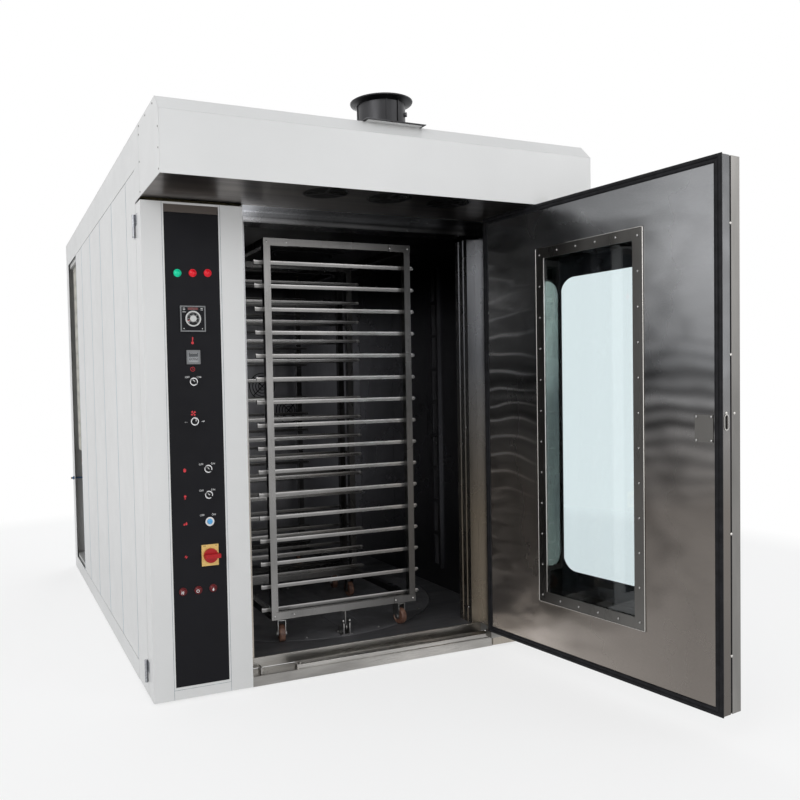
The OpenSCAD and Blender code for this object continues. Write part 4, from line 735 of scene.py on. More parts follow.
def set_sweep(name, path, closed, radius, corner, skin, body):
    """Sweeps a round section along a path of points."""
    count = len(path)
    edges = [(k, k + 1) for k in range(count - 1)] + ([(count - 1, 0)] if closed else [])
    line = bpy.data.meshes.new(name + "_path")
    line.from_pydata([tuple(p) for p in path], edges, [])
    run_tree(name, TREES["sweep"], line, {"Radius": radius, "Corner": corner}, skin, body)


# ------------------------------------------------------------------ settings


def colour_setting(name, default, description):
    """A colour that a user may change."""
    return bpy.props.FloatVectorProperty(name=name, description=description, subtype="COLOR", size=3,
                                         min=0.0, max=1.0, default=default)


def length_setting(name, default, description):
    """A length that a user may change."""
    return bpy.props.FloatProperty(name=name, description=description, subtype="DISTANCE", unit="LENGTH",
                                   min=0.0, default=default)


class OvenFinishes(bpy.types.PropertyGroup):
    """Colours of the oven's own surfaces."""

    coat: colour_setting("Powder coat", (0.66, 0.66, 0.655), "Planks, hood and column")
    sheet: colour_setting("Stainless sheet", (0.27, 0.262, 0.25), "Doorway, door edge and sill")
    # The door's two colours are painted reflections: cool grey above, brownish grey low down.
    door_high_reflection: colour_setting("Door, upper part", (0.62, 0.63, 0.65), "Cool grey of the upper door sheet")
    door_low_reflection: colour_setting("Door, lower part", (0.50, 0.45, 0.41), "Brownish grey of the lower door sheet")
    canopy: colour_setting("Hood underside", (0.15, 0.132, 0.122), "Stainless under the hood")
    chamber: colour_setting("Chamber lining", (0.085, 0.085, 0.09), "Heat-tinted stainless inside")
    panel: colour_setting("Control panel", (0.007, 0.007, 0.009), "Satin black sheet")
    rack: colour_setting("Trolleys", (0.30, 0.295, 0.29), "Stainless tube and rails")


class OvenSizes(bpy.types.PropertyGroup):
    """Sizes of the small parts."""

    screw: length_setting("Window screw", 5.2 * MM, "Radius of a domed screw head")
    rivet: length_setting("Sleeve rivet", 5.0 * MM, "Radius of a rivet head")
    bead: length_setting("Window bead", 4.0 * MM, "Radius of the bead round the glass")


class OvenStudio(bpy.types.PropertyGroup):
    """Camera and light."""

    focal: bpy.props.FloatProperty(name="Lens", description="Focal length", unit="CAMERA", default=36.33)
    key: bpy.props.FloatProperty(name="Key", description="Power of the key light", subtype="POWER",
                                 unit="POWER", default=190.0)
    sky: bpy.props.FloatProperty(name="Sky", description="Strength of the even light", default=0.62)


# ------------------------------------------------------------------ operators


def dress(skin, *names):
    """Gives CAD nodes the named material."""
    for name in names:
        data = NODES[name].data
        data.materials.clear()
        data.materials.append(MATERIALS[skin])


class OVEN_OT_finishes(bpy.types.Operator):
    """Make the materials and give every CAD node its own"""

    bl_idname = "oven.finishes"
    bl_label = "Finishes"

    def execute(self, context):
        f = context.scene.oven_finishes
        paint("coat", f.coat)
        column_coat("coat_column", f.coat, (0.36, 0.37, 0.39))
        paint("primer", (0.12, 0.12, 0.125), rough=0.5)
        paint("galvanised", (0.46, 0.46, 0.45), rough=0.42, soil=0.2)
        door_sheet("door_sheet", f.door_high_reflection, f.door_low_reflection)
        brushed("window_sheet", shade(f.sheet, 0.46), "Z", 0.26, 0.12, tint=shade(f.sheet, 0.66))
        brushed("door_back", shade(f.sheet, 1.0), "Z", 0.32, 0.12, wave=0.02, tint=shade(f.sheet, 0.62))
        doorway_sheet("doorway", shade(f.sheet, 1.9))
        brushed("threshold", shade(f.sheet, 2.0), "X", 0.24, 0.3, wave=0.006, wave_scale=6,
                tint=shade(f.sheet, 0.7))
        self.canopy(f.canopy)
        self.lining(f.chamber)
        brushed("floor", shade(f.chamber, 3.6), "X", 0.5, 0.25, tint=shade(f.chamber, 1.6))
        turned("disc", shade(f.chamber, 3.8), 0.45)
        rack_tube("rack_front", shade(f.rack, 0.92))
        rack_rail("rail_front", shade(f.rack, 1.7))
        # The rear trolley's tube and rails are darker copies of the front's: painted shade, deeper in the
        # chamber.
        rack_tube("rack_rear", shade(f.rack, 0.66))
        rack_rail("rail_rear", shade(f.rack, 0.72))
        brushed("bright", (0.4, 0.395, 0.39), "Z", 0.22, 0.1)
        brushed("zinc", (0.33, 0.33, 0.325), "Z", 0.34, 0.18, grain=500)
        phenolic("resin", (0.11, 0.05, 0.033), (0.20, 0.11, 0.075))
        paint("black_panel", f.panel, rough=0.5, peel=0.00003, soil=0.25, coat=0.0, gloss=0.12)
        self.lamps()
        plastic("bezel", (0.16, 0.165, 0.17), 0.4)
        plastic("white_wheel", (0.55, 0.55, 0.54), 0.35)
        plastic("knob", (0.012, 0.012, 0.013), 0.4, gloss=0.15)
        lens("blue", (0.05, 0.28, 0.55), 0.12)
        plastic("yellow", (0.74, 0.50, 0.17), 0.35, coat=0.05, gloss=0.3)
        plastic("red", (0.40, 0.008, 0.012), 0.3, coat=0.05, gloss=0.25)
        self.trim()
        rubber("seal")
        glass("pane", (0.895, 0.958, 0.97))
        wool("wool", (0.45, 0.38, 0.2))
        quilted("lagging", (0.62, 0.6, 0.53))
        crinkled("foil", (0.66, 0.67, 0.68))
        heat_steel("exchanger", (0.22, 0.16, 0.12), (0.12, 0.09, 0.10))
        paint("enamel", (0.02, 0.07, 0.16), rough=0.3)
        paint("motor", (0.03, 0.035, 0.04), rough=0.45)
        plastic("moulded", (0.36, 0.36, 0.33), 0.5)
        brushed("flue", (0.10, 0.10, 0.105), "Z", 0.3, 0.2, tint=(0.04, 0.04, 0.042))
        print_ink("white_ink", (0.72, 0.72, 0.72))
        print_ink("red_ink", (0.62, 0.02, 0.03))
        plastic("dark", (0.008, 0.008, 0.01), 0.3, gloss=0.15)
        brushed("mirror", shade(f.sheet, 2.0), "Z", 0.12, 0.05)
        # The casing's green is a painted reflection of the glass.
        brushed("painted_reflection_lining", (0.13, 0.155, 0.14), "Z", 0.08, 0.05, tint=(0.06, 0.07, 0.075))
        brushed("dark_steel", (0.09, 0.085, 0.08), "X", 0.25, 0.1)
        lens("display_red", (0.10, 0.008, 0.008))
        plastic("display_grey", (0.05, 0.055, 0.06), 0.2)
        plastic("silver_face", (0.3, 0.31, 0.32), 0.35)
        plastic("film", (0.42, 0.52, 0.60), 0.35)
        rubber("joint", (0.16, 0.18, 0.20))
        plastic("wire_red", (0.5, 0.02, 0.02), 0.4)
        plastic("wire_white", (0.7, 0.7, 0.68), 0.4)
        brushed("brass", (0.55, 0.38, 0.14), "Z", 0.3, 0.1)
        self.dress_nodes()
        return {"FINISHED"}

    def canopy(self, colour):
        """The hood's brushed underside with its three blackened grilles."""
        g = Graph("canopy")
        x, y, _ = g.axes()
        grille = 88 * MM
        guard = 0.0
        for number in (1, 2, 3):
            low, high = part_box("hood_fan_%d" % number)
            dx = g.minus(x, (low.x + high.x) / 2)
            dy = g.minus(y, (low.y + high.y) / 2)
            near = g.math("LESS_THAN", g.square_reach(dx, dy), grille ** 2)
            guard = g.math("MAXIMUM", guard, near)
        scratch = g.noise(900, 4, (0.012, 1, 1), 0.65)
        streaks = g.ramp(g.noise(24, 3, (0.02, 1, 1)), (0.35, 0.7), (0.65, 1.35))
        tone = g.times(g.ramp(scratch, (0.25, 0.88), (0.75, 1.12)), streaks)
        skin = g.mix(guard, g.gain((*colour,), tone), (0.004, 0.004, 0.004))
        g.set(Base_Color=skin, Metallic=g.minus(1.0, guard), Roughness=0.3, Specular_IOR_Level=0.2,
              Normal=g.bump(scratch, 0.00002, g.bump(g.noise(2.0, 2, (0.35, 1, 1.6)), 0.008)))

    def lining(self, colour):
        """Heat-tinted lining, with painted shade under the ceiling and painted light on the rear wall's left
        part, where the round guards are black."""
        g = Graph("lining")
        x, y, z = g.axes()
        cloud = g.noise(1.7, 5)
        scratch = g.noise(500, 4, (1, 1, 0.02), 0.6)
        skin = g.mix(g.ramp(cloud, (0.35, 0.0), (0.7, 1.0)), g.ramp(scratch, (0.3, shade(colour, 0.8)),
                     (0.7, shade(colour, 1.2))), shade(colour, 0.7))
        # Painted light on the rear wall's left part, painted shade under the ceiling.
        rear = g.math("GREATER_THAN", y, REAR_FACE - 10 * MM)
        left = g.minus(1.0, g.between(x, 0.25, 0.45))
        high = g.between(z, 1.55, 1.8)
        painted_light_patch = g.times(g.times(rear, left), g.minus(1.0, high))
        tone = g.plus(g.mix_value(high, 1.9, 0.4), g.times(painted_light_patch, 2.0))
        proud = g.math("LESS_THAN", y, REAR_FACE - 0.4 * MM)
        ring = 86.5 * MM
        guard = 0.0
        for spot in ((0.145, 1.212), (0.317, 1.057)):
            dx, dz = g.minus(x, spot[0]), g.minus(z, spot[1])
            near = g.math("LESS_THAN", g.square_reach(dx, dz), ring ** 2)
            guard = g.math("MAXIMUM", guard, near)
        guard = g.times(g.times(guard, proud), rear)
        tone = g.times(tone, g.mix_value(guard, 1.0, 0.05))
        g.set(Base_Color=g.gain(skin, tone), Metallic=1.0, Roughness=g.ramp(cloud, (0.3, 0.24), (0.7, 0.4)),
              Normal=g.bump(scratch, 0.00003, g.bump(g.noise(2.5, 2, (1, 1, 0.4)), 0.004)))

    def trim(self):
        """Chromed rings round the switches, and the brushed plate above the panel, whose dark brown is a
        painted reflection of the hood's underside.
        """
        g = Graph("trim")
        _, _, z = g.axes()
        plate_foot = 1.87
        plate = g.math("GREATER_THAN", z, plate_foot)
        scratch = g.noise(900, 4, (0.012, 1, 1), 0.65)
        # The plate's dark brown is a painted reflection of the hood's underside.
        skin = g.mix(plate, (0.62, 0.62, 0.63), (0.10, 0.088, 0.08))
        g.set(Base_Color=g.gain(skin, g.ramp(scratch, (0.25, 0.88), (0.75, 1.1))), Metallic=1.0,
              Roughness=g.mix_value(plate, 0.16, 0.3), Normal=g.bump(scratch, 0.00001))

    def lamps(self):
        """Red lenses, with the one lamp at the upper left green."""
        g = Graph("lamps")
        x, _, z = g.axes()
        first_lamp_end, lower_row_end = -0.74, 1.0
        left = g.math("LESS_THAN", x, first_lamp_end)
        high = g.math("GREATER_THAN", z, lower_row_end)
        grain = g.noise(160, 2)
        reds = g.mix(high, (0.10, 0.004, 0.006), (0.66, 0.008, 0.02))
        skin = g.mix(g.times(left, high), reds, (0.0, 0.55, 0.3))
        skin = g.gain(skin, g.ramp(grain, (0.3, 0.8), (0.7, 1.15)))
        g.set(Base_Color=skin, Roughness=0.3, Coat_Weight=0.1, Coat_Roughness=0.1, Specular_IOR_Level=0.3,
              Emission_Color=skin, Emission_Strength=0.12, Normal=g.bump(g.noise(420, 1), 0.0001))

    def dress_nodes(self):
        """The material of every CAD node."""
        dress("coat", "side_panels", "rear_panels", "hood_shell")
        dress("coat_column", "column_cover", "column_carcass")
        dress("primer", "circulation_fan")
        dress("galvanised", "cabinet_frame")
        dress("door_sheet", "door_inner_skin")
        dress("window_sheet", "window_frame")
        dress("door_back", "door_outer_skin")
        dress("doorway", "door_frame")
        dress("threshold", "sill")
        dress("canopy", "hood_underside")
        dress("lining", "chamber_liner")
        dress("floor", "chamber_floor")
        dress("disc", "turntable")
        dress("bright", "turntable_latch")
        dress("dark_steel", "latch_tongue")
        dress("window_sheet", "door_hardware")
        dress("black_panel", "control_panel")
        dress("lamps", "indicator_lamps")
        dress("bezel", "instruments")
        dress("white_wheel", "temperature_dial")
        dress("knob", "knob_time", "knob_fan", "knob_manual", "knob_light", "door_handle",
              "hood_fan_1", "hood_fan_2", "hood_fan_3")
        dress("blue", "burner_button")
        dress("yellow", "isolator_plate")
        dress("red", "isolator_handle")
        dress("trim", "column_trim")
        dress("seal", "door_gasket")
        dress("pane", "window_glass")
        dress("wool", "wall_insulation", "door_core")
        dress("lagging", "rear_lagging")
        dress("foil", "foil_duct")
        dress("exchanger", "heat_exchanger")
        dress("enamel", "burner")
        dress("motor", "fan_motors")
        dress("moulded", "electrics_plate")
        dress("flue", "flue_collar")
        for side in ("front", "rear"):
            trolley = "trolley_" + side
            dress("rack_" + side, trolley + "_frame")
            dress("rail_" + side, trolley + "_rails")
            dress("zinc", trolley + "_fork_left", trolley + "_fork_right")
            dress("resin", trolley + "_wheel_left", trolley + "_wheel_right", trolley + "_wheels_rear")


class OVEN_OT_studio(bpy.types.Operator):
    """Set the floor, the backdrop, the lights and the camera"""

    bl_idname = "oven.studio"
    bl_label = "Studio"

    def execute(self, context):
        studio = context.scene.oven_studio
        self.world(context, studio)
        self.floor(context)
        self.lights(context, studio)
        self.camera(context, studio)
        context.scene.view_settings.view_transform = "Standard"
        return {"FINISHED"}

    def world(self, context, studio):
        """Even light, with a white background for the camera, for gloss and through glass."""
        world = bpy.data.worlds.new("studio")
        world.use_nodes = True
        nodes, links = world.node_tree.nodes, world.node_tree.links
        nodes.clear()
        output = nodes.new("ShaderNodeOutputWorld")
        mix = nodes.new("ShaderNodeMixShader")
        even = nodes.new("ShaderNodeBackground")
        white = nodes.new("ShaderNodeBackground")
        even.inputs["Strength"].default_value = studio.sky
        white.inputs["Color"].default_value = (1, 1, 1, 1)
        links.new(self.plain_ray(nodes, links), mix.inputs[0])
        links.new(even.outputs[0], mix.inputs[1])
        links.new(white.outputs[0], mix.inputs[2])
        links.new(mix.outputs[0], output.inputs[0])
        even.inputs["Color"].default_value = (0.96, 0.98, 1.0, 1)
        context.scene.world = world

    def plain_ray(self, nodes, links):
        """1 for rays from the camera, off glossy faces and through glass."""
        path = nodes.new("ShaderNodeLightPath")
        total = path.outputs["Is Camera Ray"]
        for name in ("Is Glossy Ray", "Is Transmission Ray"):
            add = nodes.new("ShaderNodeMath")
            add.operation = "MAXIMUM"
            links.new(total, add.inputs[0])
            links.new(path.outputs[name], add.inputs[1])
            total = add.outputs[0]
        return total

    def floor(self, context):
        """A pale floor that shows only the oven's shadow."""
        mesh = mesh_of("studio_floor", lambda form: bmesh.ops.create_grid(
            form, x_segments=1, y_segments=1, size=30, matrix=Matrix.Translation((0, 0, -0.5 * MM))))
        floor = bpy.data.objects.new("studio_floor", mesh)
        bpy.context.scene.collection.objects.link(floor)
        g = Graph("studio_floor")
        g.set(Base_Color=g.ramp(g.noise(0.8, 3), (0.3, 0.86), (0.7, 0.88)), Roughness=0.9)
        x, y, _ = g.axes()
        y = g.minus(y, 0.2)
        distance = g.math("SQRT", g.square_reach(x, y))
        far = g.times(g.minus(distance, 2.2), 0.5)
        clean = g.add("ShaderNodeClamp", {"Value": far}).outputs[0]
        white = g.add("ShaderNodeEmission", {"Color": (1, 1, 1, 1), "Strength": 1.0})
        clean = g.math("MAXIMUM", clean, 0.7)
        factor = g.times(clean, self.plain_ray(g.nodes, g.links))
        blend = g.add("ShaderNodeMixShader", {0: factor, 1: g.shader.outputs[0], 2: white.outputs[0]})
        output = next(node for node in g.nodes if node.type == "OUTPUT_MATERIAL")
        g.links.new(blend.outputs[0], output.inputs["Surface"])
        mesh.materials.append(g.material)

    def lights(self, context, studio):
        """A broad key from the front left, a fill from the right and a low front light."""
        for name, power, size, spot, aim in (
                ("key", studio.key, 4.0, (-6.2, -4.6, 4.6), (0.0, -0.6, 1.0)),
                ("fill", studio.key * 0.5, 4.0, (4.5, -6.5, 3.0), (0.2, -0.9, 1.0)),
                ("front", studio.key * 0.2, 2.5, (-0.8, -7.0, 1.0), (0.0, -0.5, 1.0)),
                ("back", studio.key * 0.8, 4.0, (2.5, 6.5, 4.5), (0.0, 1.0, 1.0))):
            data = bpy.data.lights.new(name, "AREA")
            data.energy = power
            data.size = size
            lamp = bpy.data.objects.new(name, data)
            lamp.location = spot
            lamp.rotation_euler = (Vector(aim) - Vector(spot)).to_track_quat("-Z", "Y").to_euler()
            context.scene.collection.objects.link(lamp)

    def camera(self, context, studio):
        """The photograph's viewpoint, fitted to the corners of cabinet, hood, door and trolleys."""
        yaw, pitch, roll = (math.radians(a) for a in (23.28, 2.015, 1.183))
        ahead = Vector((math.sin(yaw) * math.cos(pitch), math.cos(yaw) * math.cos(pitch), -math.sin(pitch)))
        right = Vector((math.cos(yaw), -math.sin(yaw), 0))
        down = ahead.cross(right)
        side = right * math.cos(roll) + down * math.sin(roll)
        drop = down * math.cos(roll) - right * math.sin(roll)
        turn = Matrix((side, -drop, -ahead)).transposed().to_4x4()
        data = bpy.data.cameras.new("camera")
        data.sensor_width = 36.0
        data.lens = studio.focal
        data.shift_x = 0.0893
        data.shift_y = 0.0177
        data.clip_end = 100.0
        camera = bpy.data.objects.new("camera", data)
        camera.matrix_world = Matrix.Translation((-1.4735, -3.9772, 1.2066)) @ turn
        context.scene.collection.objects.link(camera)
        context.scene.camera = camera


class OVEN_OT_door_seal(bpy.types.Operator):
    """Lay the soft seal with its two ribs and its lip round the inner face of the door"""

    bl_idname = "oven.door_seal"
    bl_label = "Door seal"

    def execute(self, context):
        low, high = shut_box("door_inner_skin")
        face = high.y + 0.3 * MM
        out, width, lip = 1.5 * MM, 25 * MM, 3.5 * MM
        # the section across the strip: (distance in from the door's edge, height off its face)
        section = [(-out, -lip), (-out - 1.2 * MM, -lip * 0.4), (-out - 0.8 * MM, 1.6 * MM)]
        for start, stop in ((0.0, 0.46), (0.5, 1.0)):
            for k in range(9):
                part = start + (stop - start) * k / 8
                section.append((part * width, 1.5 * MM + 3.0 * MM * math.sin(math.pi * k / 8) ** 0.6))
        section += [(width, 0.0), (0.8 * MM, 0.0), (0.8 * MM, -lip)]

        def build(form):
            rings = []
            for right, top in ((0, 0), (1, 0), (1, 1), (0, 1)):
                ring = []
                for inward, rise in section:
                    x = high.x - inward if right else low.x + inward
                    z = high.z - inward if top else low.z + inward
                    ring.append(form.verts.new((x, face + rise, z)))
                rings.append(ring)
            count = len(section)
            for k in range(4):
                a, b = rings[k], rings[(k + 1) % 4]
                for i in range(count):
                    j = (i + 1) % count
                    form.faces.new((a[i], b[i], b[j], a[j]))

        piece = make_piece("door_seal", build, "door", "seal", DOOR, smooth=True)
        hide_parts("door_gasket")
        return {"FINISHED"}


class OVEN_OT_window(bpy.types.Operator):
    """Paint the pane's border, line the casing, and set beads and screws round the window"""

    bl_idname = "oven.window"
    bl_label = "Window"

    def execute(self, context):
        sizes = context.scene.oven_sizes
        frame_low, frame_high = (corner / MM for corner in shut_box("window_frame"))
        x0, x1, z0, z1 = frame_low.x, frame_high.x, frame_low.z, frame_high.z
        band = 44
        pane_low, pane_high = shut_box("window_glass")
        self.border(pane_low, pane_high)
        self.casing(x0 + band - 2, x1 - band + 2, z0 + band - 2, z1 - band + 2)
        front = frame_high.y - 2.3

        def inset(by, y):
            return rect_path(x0 + by, x1 - by, z0 + by, z1 - by, y)

        for name, path, radius, corner, skin, slot_name in (
                ("window_edge", inset(1.6, front - 1.2), 2.2 * MM, 3 * MM, "mirror", "stainless_bright"),
                ("window_lip", inset(band - 1, front - 2), 1.8 * MM, 2 * MM, "mirror", "stainless_bright"),
                ("window_bead_outside", inset(band, pane_low.y / MM - 2.0), sizes.bead, 6 * MM, "seal",
                 "gasket")):
            set_sweep(name, path, True, radius, corner, skin, "door")
        spots = []
        for k in range(12):
            z = z0 + 30 + k * (z1 - z0 - 60) / 11
            spots += [(shut(x, front + 0.4, z), TO_COOK) for x in (x0 + band / 2, x1 - band / 2)]
        for k in range(1, 5):
            x = x0 + band / 2 + k * (x1 - x0 - band) / 5
            spots += [(shut(x, front + 0.4, z), TO_COOK) for z in (z0 + band / 2, z1 - band / 2)]
        set_repeats("window_screws", "domes", spots, sizes.screw, 3.0 * MM, "bright", "door")
        return {"FINISHED"}

    def border(self, low, high):
        """Black enamel on the outer pane, with a clear field with round corners."""
        left, right, bottom, top = -150 * MM, 262 * MM, 440 * MM, 1618 * MM
        radius = 67 * MM
        edge = 1.5 * MM
        steps = 8
        face = low.y + 6.05 * MM

        def build(form):
            inner, outer = [], []
            for x, z, start, far_x, far_z in ((right, top, 0, high.x - edge, high.z - edge),
                                              (left, top, 90, low.x + edge, high.z - edge),
                                              (left, bottom, 180, low.x + edge, low.z + edge),
                                              (right, bottom, 270, high.x - edge, low.z + edge)):
                centre = (x - radius if x == right else x + radius, z - radius if z == top else z + radius)
                inner += arc(radius, start, start + 90, steps, centre)
                outer += [(far_x, far_z)] * (steps + 1)
            count = len(inner)
            sheets = []
            for y in (face, face + 0.5 * MM):
                near = [form.verts.new((x, y, z)) for x, z in inner]
                far = [form.verts.new((x, y, z)) for x, z in outer]
                sheets.append((near, far))
                for i in range(count):
                    j = (i + 1) % count
                    corners = (near[i], near[j], far[j], far[i])
                    form.faces.new(corners if outer[i] != outer[j] else corners[:2] + corners[3:])
            for lower, upper in zip(*sheets):
                for i in range(count):
                    j = (i + 1) % count
                    if (lower[i].co - lower[j].co).length > 1e-7:
                        form.faces.new((lower[i], lower[j], upper[j], upper[i]))

        make_piece("pane_border", build, "door", "dark", DOOR)

    def casing(self, x0, x1, z0, z1):
        """Polished lining of the space between the panes, tinted green as a painted reflection of the glass.
        """
        wall = 0.5
        near, far = -831.8, -909.4

        def build(form):
            for low, high in (((x0, far, z0), (x0 + wall, near, z1)), ((x1 - wall, far, z0), (x1, near, z1)),
                              ((x0 + wall, far, z0), (x1 - wall, near, z0 + wall)),
                              ((x0 + wall, far, z1 - wall), (x1 - wall, near, z1))):
                add_slab(form, [c * MM for c in low], [c * MM for c in high])

        make_piece("casing_lining", build, "door", "painted_reflection_lining", DOOR)


class OVEN_OT_door_edge(bpy.types.Operator):
    """Fill the groove between the door's two skins and fit the latch slot's roller and rim"""

    bl_idname = "oven.door_edge"
    bl_label = "Door edge"

    def execute(self, context):
        low, high = shut_box("door_inner_skin")
        back = shut_box("door_outer_skin")[1].y
        near, far = back - 3 * MM, low.y + 3 * MM

        def strip(form):
            for x0, x1 in ((low.x + 2.5 * MM, low.x + 6 * MM), (high.x - 6 * MM, high.x - 2.5 * MM)):
                add_slab(form, (x0, near, low.z + 5 * MM), (x1, far, high.z - 5 * MM))
            for z0, z1 in ((low.z + 2.5 * MM, low.z + 4.8 * MM), (high.z - 4.8 * MM, high.z - 2.5 * MM)):
                add_slab(form, (low.x + 6.2 * MM, near, z0), (high.x - 6.2 * MM, far, z1))

        make_piece("door_break", strip, "door", "seal", DOOR)
        tongue_low, tongue_high = shut_box("latch_tongue")
        middle = (tongue_low.y + tongue_high.y) / 2
        turn = (Matrix.Translation((low.x - 0.2 * MM, middle, 0))
                @ Matrix.Rotation(math.radians(-90), 4, "Y"))
        top, bottom = tongue_high.z - 5.5 * MM, tongue_low.z + 5.5 * MM
        for name, small, large, thick, skin, kind in (
                ("latch_rim", 8.5 * MM, 12 * MM, 1.6 * MM, "mirror", "stainless_bright"),
                ("latch_plug", 4.6 * MM, 8.4 * MM, 0.6 * MM, "dark", "black_plastic")):
            outer, inner = (arc(r, -90, 90, 12, (top, 0)) + arc(r, 90, 270, 12, (bottom, 0))
                            for r in (large, small))
            make_piece(name, lambda form: add_band(form, inner, outer, thick, turn), "door", skin,
                       DOOR)
        outward = DOOR.to_3x3() @ Vector((-1, 0, 0))
        groove = (back + low.y) / 2 / MM
        spots = [(shut(low.x / MM, y, z), outward) for y, z in
                 ((middle / MM, 1093), (back / MM - 14, 1091), (groove, 300), (groove, 700), (groove, 1280),
                  (groove, 1700))]
        set_repeats("door_edge_screws", "domes", spots, 5.0 * MM, 3.0 * MM, "mirror", "door")
        spots = [(shut(x, -818.6, z), TO_COOK) for x in (-459, -405) for z in (1003, 1081)]
        set_repeats("latch_plate_screws", "domes", spots, 4.6 * MM, 2.6 * MM, "bright", "door")
        return {"FINISHED"}


class OVEN_OT_prints(bpy.types.Operator):
    """Print the signs and the switches' ON and OFF on the control column"""

    bl_idname = "oven.prints"
    bl_label = "Prints"

    def execute(self, context):
        for name, build, ink, slot_name in (("prints_white", self.white, "white_ink", "white_plastic"),
                                            ("prints_red", self.red, "red_ink", "red_plastic"),
                                            ("lamp_marks", self.lamp_marks, "white_ink", "white_plastic"),
                                            ("panel_lines", self.panel_lines, "joint", "gasket")):
            make_piece(name, build, "column_cover", ink)
        return {"FINISHED"}

    def white(self, form):
        """ON and OFF at the switches, and slow and fast at the fan's."""
        for x, z, words in ((-743, 1250, "OFF"), (-697, 1250, "ON"), (-698, 912, "OFF"), (-651, 913, "ON"),
                            (-699, 810, "OFF"), (-653, 811, "ON"), (-699, 714, "OFF"), (-653, 714, "ON")):
            add_words(form, words, 10.5 * MM, on_column(x, z, 0.12 * MM))
        for x, bars in ((-752, 1), (-686, 3)):
            for k in range(3):
                left = -5 + 4 * k
                height = 2.0 + 1.6 * k if k < bars else 0.8
                add_prism(form, oblong(left, -3, left + 2.2, -3 + height), INK, on_column(x, 1080))

    def red(self, form):
        """The signs beside the controls, from the top down."""
        self.thermometer(form, on_column(-719, 1392))
        self.clock(form, on_column(-721, 1281))
        self.rotor(form, on_column(-723, 1111), 10.5 * MM)
        self.hand(form, on_column(-763, 892))
        self.bulb(form, on_column(-764, 789))
        self.flame(form, on_column(-765, 687), ((-5, -3, 0.7), (3, 0, 1.0)))
        bolt = ((-7, 1), (1, 8), (-0.4, 2.4), (7, 2.2), (-2, -7.4), (0.2, -1))
        add_prism(form, in_mm(bolt), INK, on_column(-766, 557))

    def lamp_marks(self, form):
        """Small white signs on the three lower lamps: a fan, a ring and a flame."""
        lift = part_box("control_panel")[0].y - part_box("indicator_lamps")[0].y + 0.1 * MM
        self.rotor(form, on_column(-786, 423, lift), 6.5 * MM)
        add_ring(form, 4.2, 6.2, INK, on_column(-726, 423, lift), 20)
        self.flame(form, on_column(-665, 423, lift), ((0, 0, 0.95),))

    def panel_lines(self, form):
        """Dark joints beside the panel and one below it, above the white plate."""
        low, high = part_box("control_panel")
        cover_low, cover_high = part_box("column_cover")
        near, far = cover_low.y - 0.3 * MM, cover_low.y - 0.02 * MM
        for x in (low.x - 1.6 * MM, high.x + 0.2 * MM):
            add_slab(form, (x, near, cover_low.z + 1 * MM), (x + 1.4 * MM, far, cover_high.z - 1 * MM))
        add_slab(form, (low.x, near, low.z - 4.5 * MM), (high.x, far, low.z - 3.2 * MM))

    def thermometer(self, form, place):
        """A bulb, its stem and three ticks."""
        add_prism(form, disc(5.2 * MM, (0, -10 * MM)), INK, place)
        add_prism(form, oblong(-1.7, -5.6, 1.7, 11), INK, place)
        add_prism(form, arc(1.7 * MM, 0, 180, 8, (0, 11.1 * MM)), INK, place)
        for z in (1, 5, 9):
            add_prism(form, oblong(2.6, z, 5, z + 1.1), INK, place)

    def clock(self, form, place):
        """A ring with two hands."""
        add_ring(form, 7.2, 8.6, INK, place, 40)
        for turn, length in ((90, 5.6), (-30, 4.2)):
            add_prism(form, oblong(0, -0.55, length, 0.55), INK,
                      place @ Matrix.Rotation(math.radians(turn), 4, "Z"))

    def rotor(self, form, place, radius):
        """Four broad blades round a hub."""
        for start in (12, 102, 192, 282):
            root = arc(radius * 0.22, start, start + 30, 1)
            add_prism(form, root[:1] + arc(radius, start, start + 52, 8) + root[1:], INK, place)
        add_prism(form, disc(radius * 0.2, steps=16), INK, place)

    def hand(self, form, place):
        """A palm with four fingers."""
        palm = arc(5 * MM, 180, 360, 12, (0, -2 * MM))
        add_prism(form, palm + in_mm(((5, 2.4), (-5, 2.4))), INK, place)
        for k, tall in enumerate((6.6, 8.4, 8.0, 6.0)):
            left = -4.9 + 2.6 * k
            add_prism(form, oblong(left, 2.6, left + 2.0, tall), INK, place)

    def bulb(self, form, place):
        """A round glass over three threads."""
        add_prism(form, arc(4.6 * MM, -50, 230, 20, (0, 3 * MM)), INK, place)
        for k in range(3):
            z = -3.2 - 2.4 * k
            add_prism(form, oblong(-2.5, z, 2.5, z + 1.6), INK, place)

    def flame(self, form, place, copies):
        """Flames as (across, up, size)."""
        edge = ((0, -6), (3.4, -4.6), (4.2, -1.2), (2.6, 2.2), (1.2, 7.6), (-1.6, 3.0), (-3.6, 0.4),
                (-4.0, -3.0), (-2.4, -5.4))
        for dx, dz, size in copies:
            add_prism(form, in_mm((dx + a * size, dz + b * size) for a, b in edge), INK, place)


